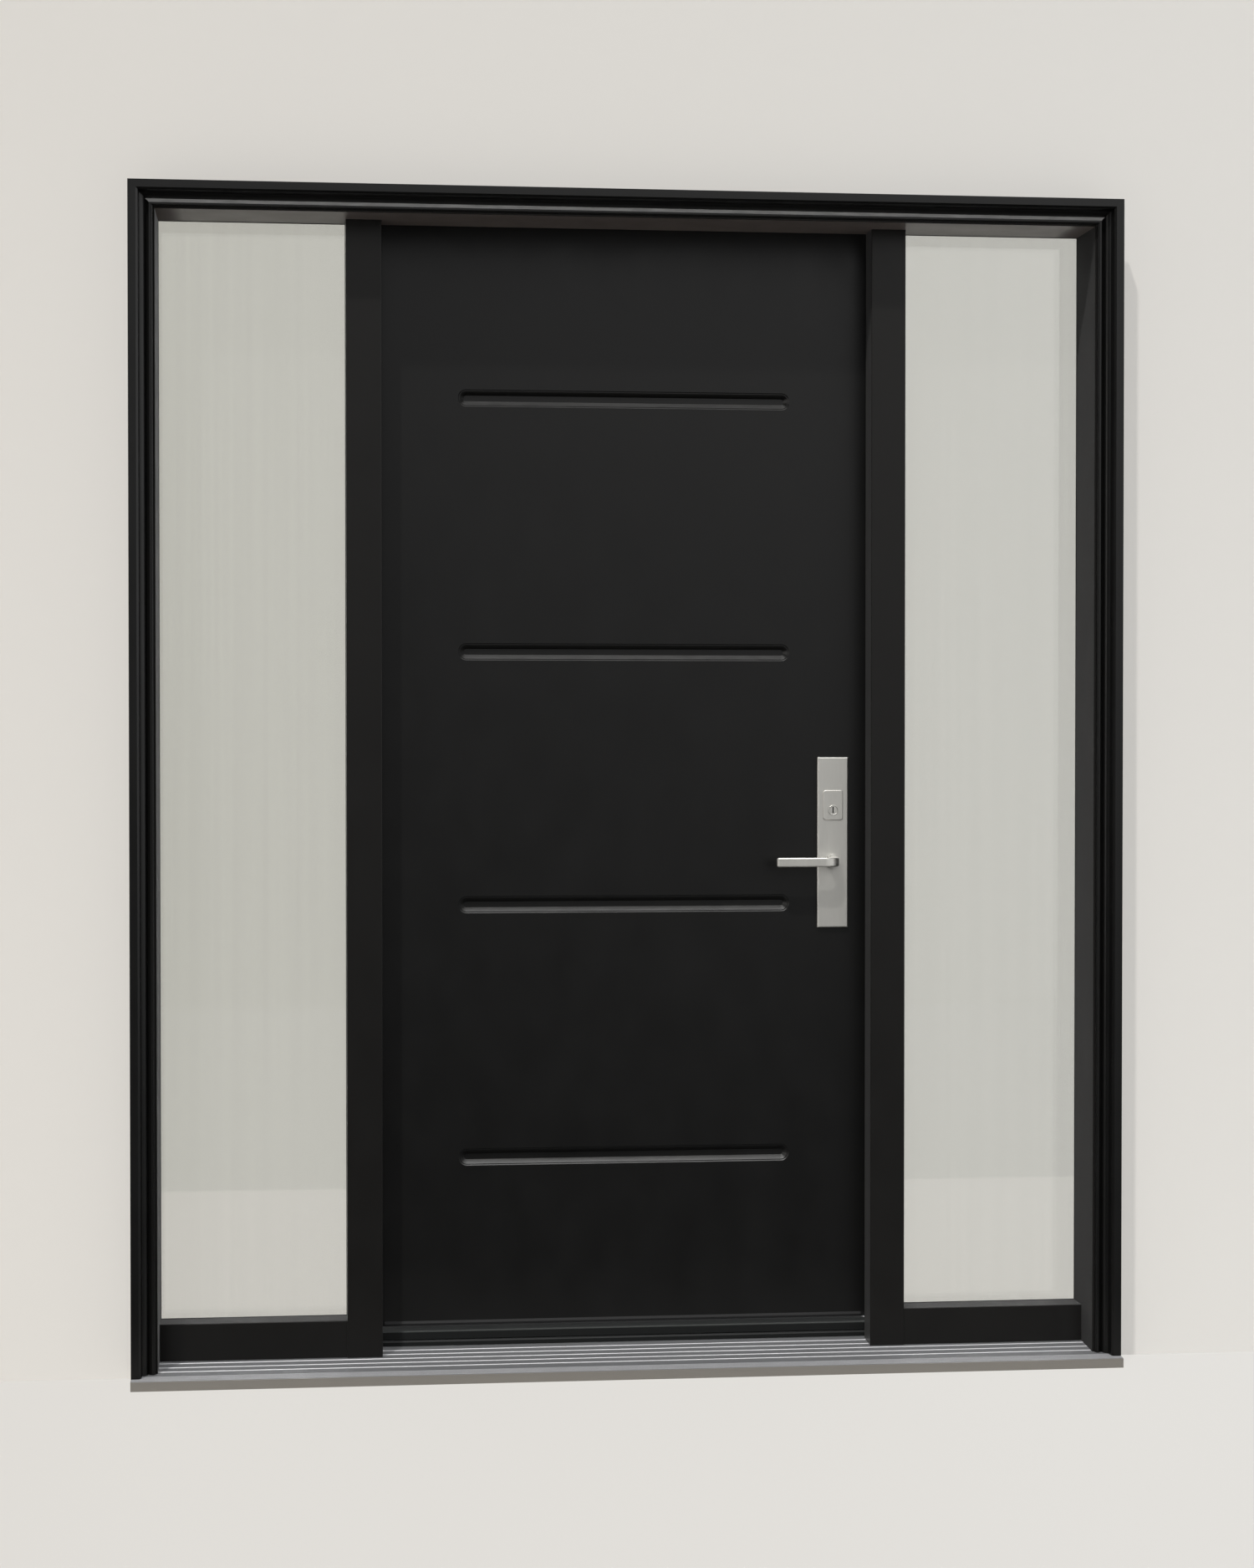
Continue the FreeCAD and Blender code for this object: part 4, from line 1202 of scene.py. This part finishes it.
@dataclass
class Studio:
    """Camera, pale room and soft light."""

    # Camera, fitted to the frame's straight edges
    eye: Triple = (-0.593, -5.2098, 1.15305)
    yaw: float = math.radians(6.370)
    pitch: float = math.radians(-1.004)
    vertical_view: float = math.radians(30.0)
    sensor: float = 36.0
    view_reach: float = 50.0
    # Wall and floor, from left to right
    pale: tuple[Colour, Colour] = ((0.725, 0.70, 0.66), (0.77, 0.755, 0.725))
    gradient_half: float = 1.6
    matt_roughness: float = 0.9
    matt_specular: float = 0.1
    wall_evenness: float = 0.55
    wall_lit_share: float = 0.9
    floor_evenness: float = 0.93
    floor_lit_share: float = 0.6
    wall_setback: float = 0.06
    reach: float = 7.0
    # What shows through the glass, from left to right
    beyond: tuple[Colour, Colour] = ((0.628, 0.618, 0.572), (0.688, 0.68, 0.65))
    beyond_span: Span = (-0.05, 0.27)
    room_depth: float = 2.2
    edge_blur: float = 0.01
    # What gloss shows: dim low down, bright overhead
    gloss_low: Colour = (0.045, 0.045, 0.045)
    gloss_high: Colour = (1.95, 1.95, 1.95)
    gloss_towards: Triple = (0.44, -0.1, 0.89)
    gloss_range: Span = (0.05, 0.5)
    floor_fade: Span = (-0.4, -0.05)
    # Light
    sky: float = 0.25
    lamps: tuple[SoftBox | Beam, ...] = (
        Beam(
            "key", travel=(0.57, 1.0, -1.66), strength=2.6, spread=math.radians(2.0),
            colour=(1.0, 0.985, 0.96),
        ),
        Beam(
            "overhead", travel=(0.05, 0.17, -1.0), strength=2.0, spread=math.radians(40.0), shadow=False,
        ),
        Beam(
            "rim", travel=(-0.1, -0.84, -0.53), strength=2.0, spread=math.radians(30.0), shadow=False,
        ),
        SoftBox(
            "left_fill", place=(-4.6, -1.3, 1.7), aim=(0.4, 0.1, 1.2), width=1.2, height=3.0, power=40.0,
            colour=(1.0, 0.97, 0.94),
        ),
    )

    def camera(self) -> None:
        """Stands the camera where the photograph was taken."""
        data = bpy.data.cameras.new("camera")
        data.sensor_fit = "VERTICAL"
        data.sensor_height = self.sensor
        data.lens = self.sensor / 2 / math.tan(self.vertical_view / 2)
        data.clip_end = self.view_reach
        camera = bpy.data.objects.new("camera", data)
        camera.location = self.eye
        camera.rotation_euler = (math.pi / 2 + self.pitch, 0.0, -self.yaw)
        bpy.context.scene.collection.objects.link(camera)
        bpy.context.scene.camera = camera

    def panels(self, name: str, panels: Sequence[Sequence[Triple]], finish: bpy.types.Material) -> None:
        """Adds flat stage panels.

        Args:
            name: the piece's name.
            panels: corner points of each panel.
            finish: their material.
        """
        points, faces = [], []
        for panel in panels:
            faces.append(range(len(points), len(points) + len(panel)))
            points.extend(panel)
        made = new_object(name, points, faces=faces)
        made.data.materials.append(finish)

    def pale_finish(self, name: str, evenness: float, lit_share: float) -> bpy.types.Material:
        """Matt pale surface that keeps shadows but evens out the light for what the eye sees.

        Args:
            name: the finish's name.
            evenness: share of what the eye sees that the lamps don't change.
            lit_share: how much of the lamps' light the surface gives back.

        Returns:
            The material.
        """
        graph = Graph(name)
        graph.constants({"Roughness": self.matt_roughness, "Specular IOR Level": self.matt_specular})
        path, half = graph.add("ShaderNodeLightPath"), self.gradient_half
        depth = graph.along(Reading.PLACE, Facing.INWARD.value)
        across = graph.spread(graph.along(Reading.PLACE, Facing.RIGHT.value), 0.0, 1.0, -half, half)
        colour = graph.tones(across, *self.pale)
        graph.drive("Base Color", graph.tones(across, *(shade(tone, lit_share) for tone in self.pale)))
        kinds = ("Camera", "Glossy", "Transmission")
        eye, glossy, through = (path.outputs[f"Is {kind} Ray"] for kind in kinds)
        back = graph.spread(depth, 0.0, 1.0, self.room_depth, self.room_depth + self.edge_blur)
        front = graph.spread(depth, 1.0, 0.0, *self.floor_fade)
        seen = graph.tones(graph.math("MULTIPLY", back, through), colour, graph.tones(across, *self.beyond))
        mirrored = graph.math("MULTIPLY", front, graph.math("SUBTRACT", glossy, through))
        glow, mix = graph.add("ShaderNodeEmission"), graph.add("ShaderNodeMixShader")
        graph.link(graph.tones(mirrored, seen, self.gloss_low), glow.inputs["Color"])
        share = graph.math("MULTIPLY", eye, evenness)
        graph.link(graph.math("MAXIMUM", graph.math("MAXIMUM", share, glossy), through), mix.inputs["Fac"])
        graph.link(graph.surface.outputs["BSDF"], mix.inputs[1])
        graph.link(glow.outputs["Emission"], mix.inputs[2])
        graph.link(mix.outputs["Shader"], graph.output.inputs["Surface"])
        return graph.material

    def room(self) -> None:
        """Floor through the wall, and the wall round the opening."""
        far = self.reach
        ground = [(-far, -far, 0.0), (far, -far, 0.0), (far, far, 0.0), (-far, far, 0.0)]
        finish = self.pale_finish("pale_floor", self.floor_evenness, self.floor_lit_share)
        self.panels("floor", [ground], finish)
        half, top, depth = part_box("right_jamb")[1].x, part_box("head_jamb")[1].z, self.wall_setback
        panels = [
            [(left, depth, low), (right, depth, low), (right, depth, high), (left, depth, high)]
            for left, right, low, high in (
                (-far, -half, 0.0, far), (half, far, 0.0, far), (-half, half, top, far),
            )
        ]
        finish = self.pale_finish("pale_wall", self.wall_evenness, self.wall_lit_share)
        self.panels("wall", panels, finish)

    def world(self) -> None:
        """Even sky for the light, a room that is brighter above for gloss, and a pale one for the eye."""
        world = bpy.data.worlds.new("studio")
        world.use_nodes = True
        nodes = Nodes(world.node_tree)
        new, join = nodes.add, nodes.link
        path, direction = new("ShaderNodeLightPath"), new("ShaderNodeTexCoord")
        upward = new("ShaderNodeVectorMath", operation="DOT_PRODUCT")
        upward.inputs[1].default_value = self.gloss_towards
        join(direction.outputs["Generated"], upward.inputs[0])
        sideways = new("ShaderNodeSeparateXYZ")
        join(direction.outputs["Generated"], sideways.inputs["Vector"])
        height, across = new("ShaderNodeMapRange"), new("ShaderNodeMapRange")
        for node, span, source in (
            (height, self.gloss_range, upward.outputs["Value"]),
            (across, self.beyond_span, sideways.outputs["X"]),
        ):
            node.inputs["From Min"].default_value, node.inputs["From Max"].default_value = span
            join(source, node.inputs["Value"])
        sky, low, high, left, right = (new("ShaderNodeBackground") for _ in range(5))
        tones = (self.gloss_low, self.gloss_high, *self.beyond)
        for node, colour in zip((low, high, left, right), tones):
            node.inputs["Color"].default_value = (*colour, 1.0)
        sky.inputs["Strength"].default_value = self.sky
        eye = new("ShaderNodeMath", operation="MAXIMUM")
        join(path.outputs["Is Camera Ray"], eye.inputs[0])
        join(path.outputs["Is Transmission Ray"], eye.inputs[1])
        shader = sky.outputs["Background"]
        gloss, pale = new("ShaderNodeMixShader"), new("ShaderNodeMixShader")
        for node, factor, pair in ((gloss, height, (low, high)), (pale, across, (left, right))):
            join(factor.outputs["Result"], node.inputs["Fac"])
            for number, source in enumerate(pair, start=1):
                join(source.outputs["Background"], node.inputs[number])
        for factor, other in (
            (path.outputs["Is Glossy Ray"], gloss.outputs["Shader"]),
            (eye.outputs["Value"], pale.outputs["Shader"]),
        ):
            choice = new("ShaderNodeMixShader")
            join(factor, choice.inputs["Fac"])
            join(shader, choice.inputs[1])
            join(other, choice.inputs[2])
            shader = choice.outputs["Shader"]
        join(shader, new("ShaderNodeOutputWorld").inputs["Surface"])
        bpy.context.scene.world = world

    def light(self) -> None:
        """Hangs the lamps, and shows colours as they are."""
        for lamp in self.lamps:
            lamp.hang()
        bpy.context.scene.view_settings.view_transform = "Standard"


def main() -> None:
    """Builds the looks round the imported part."""
    logging.basicConfig(level=logging.INFO, format="%(message)s")
    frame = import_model()
    studio = Studio()
    studio.camera()
    studio.room()
    studio.world()
    studio.light()
    palette = Palette()
    palette.build()
    palette.dress(frame["record"], frame["nodes"])
    nickel, rubber = (palette.slots[slot.value] for slot in (Slot.NICKEL, Slot.RUBBER))
    Hinges().build(nickel)
    LockTrim().build(nickel)
    KeyTrim().build(nickel, rubber)
    Threshold().build(nickel)
    Gaskets().build(rubber)


if __name__ == "__main__":
    main()
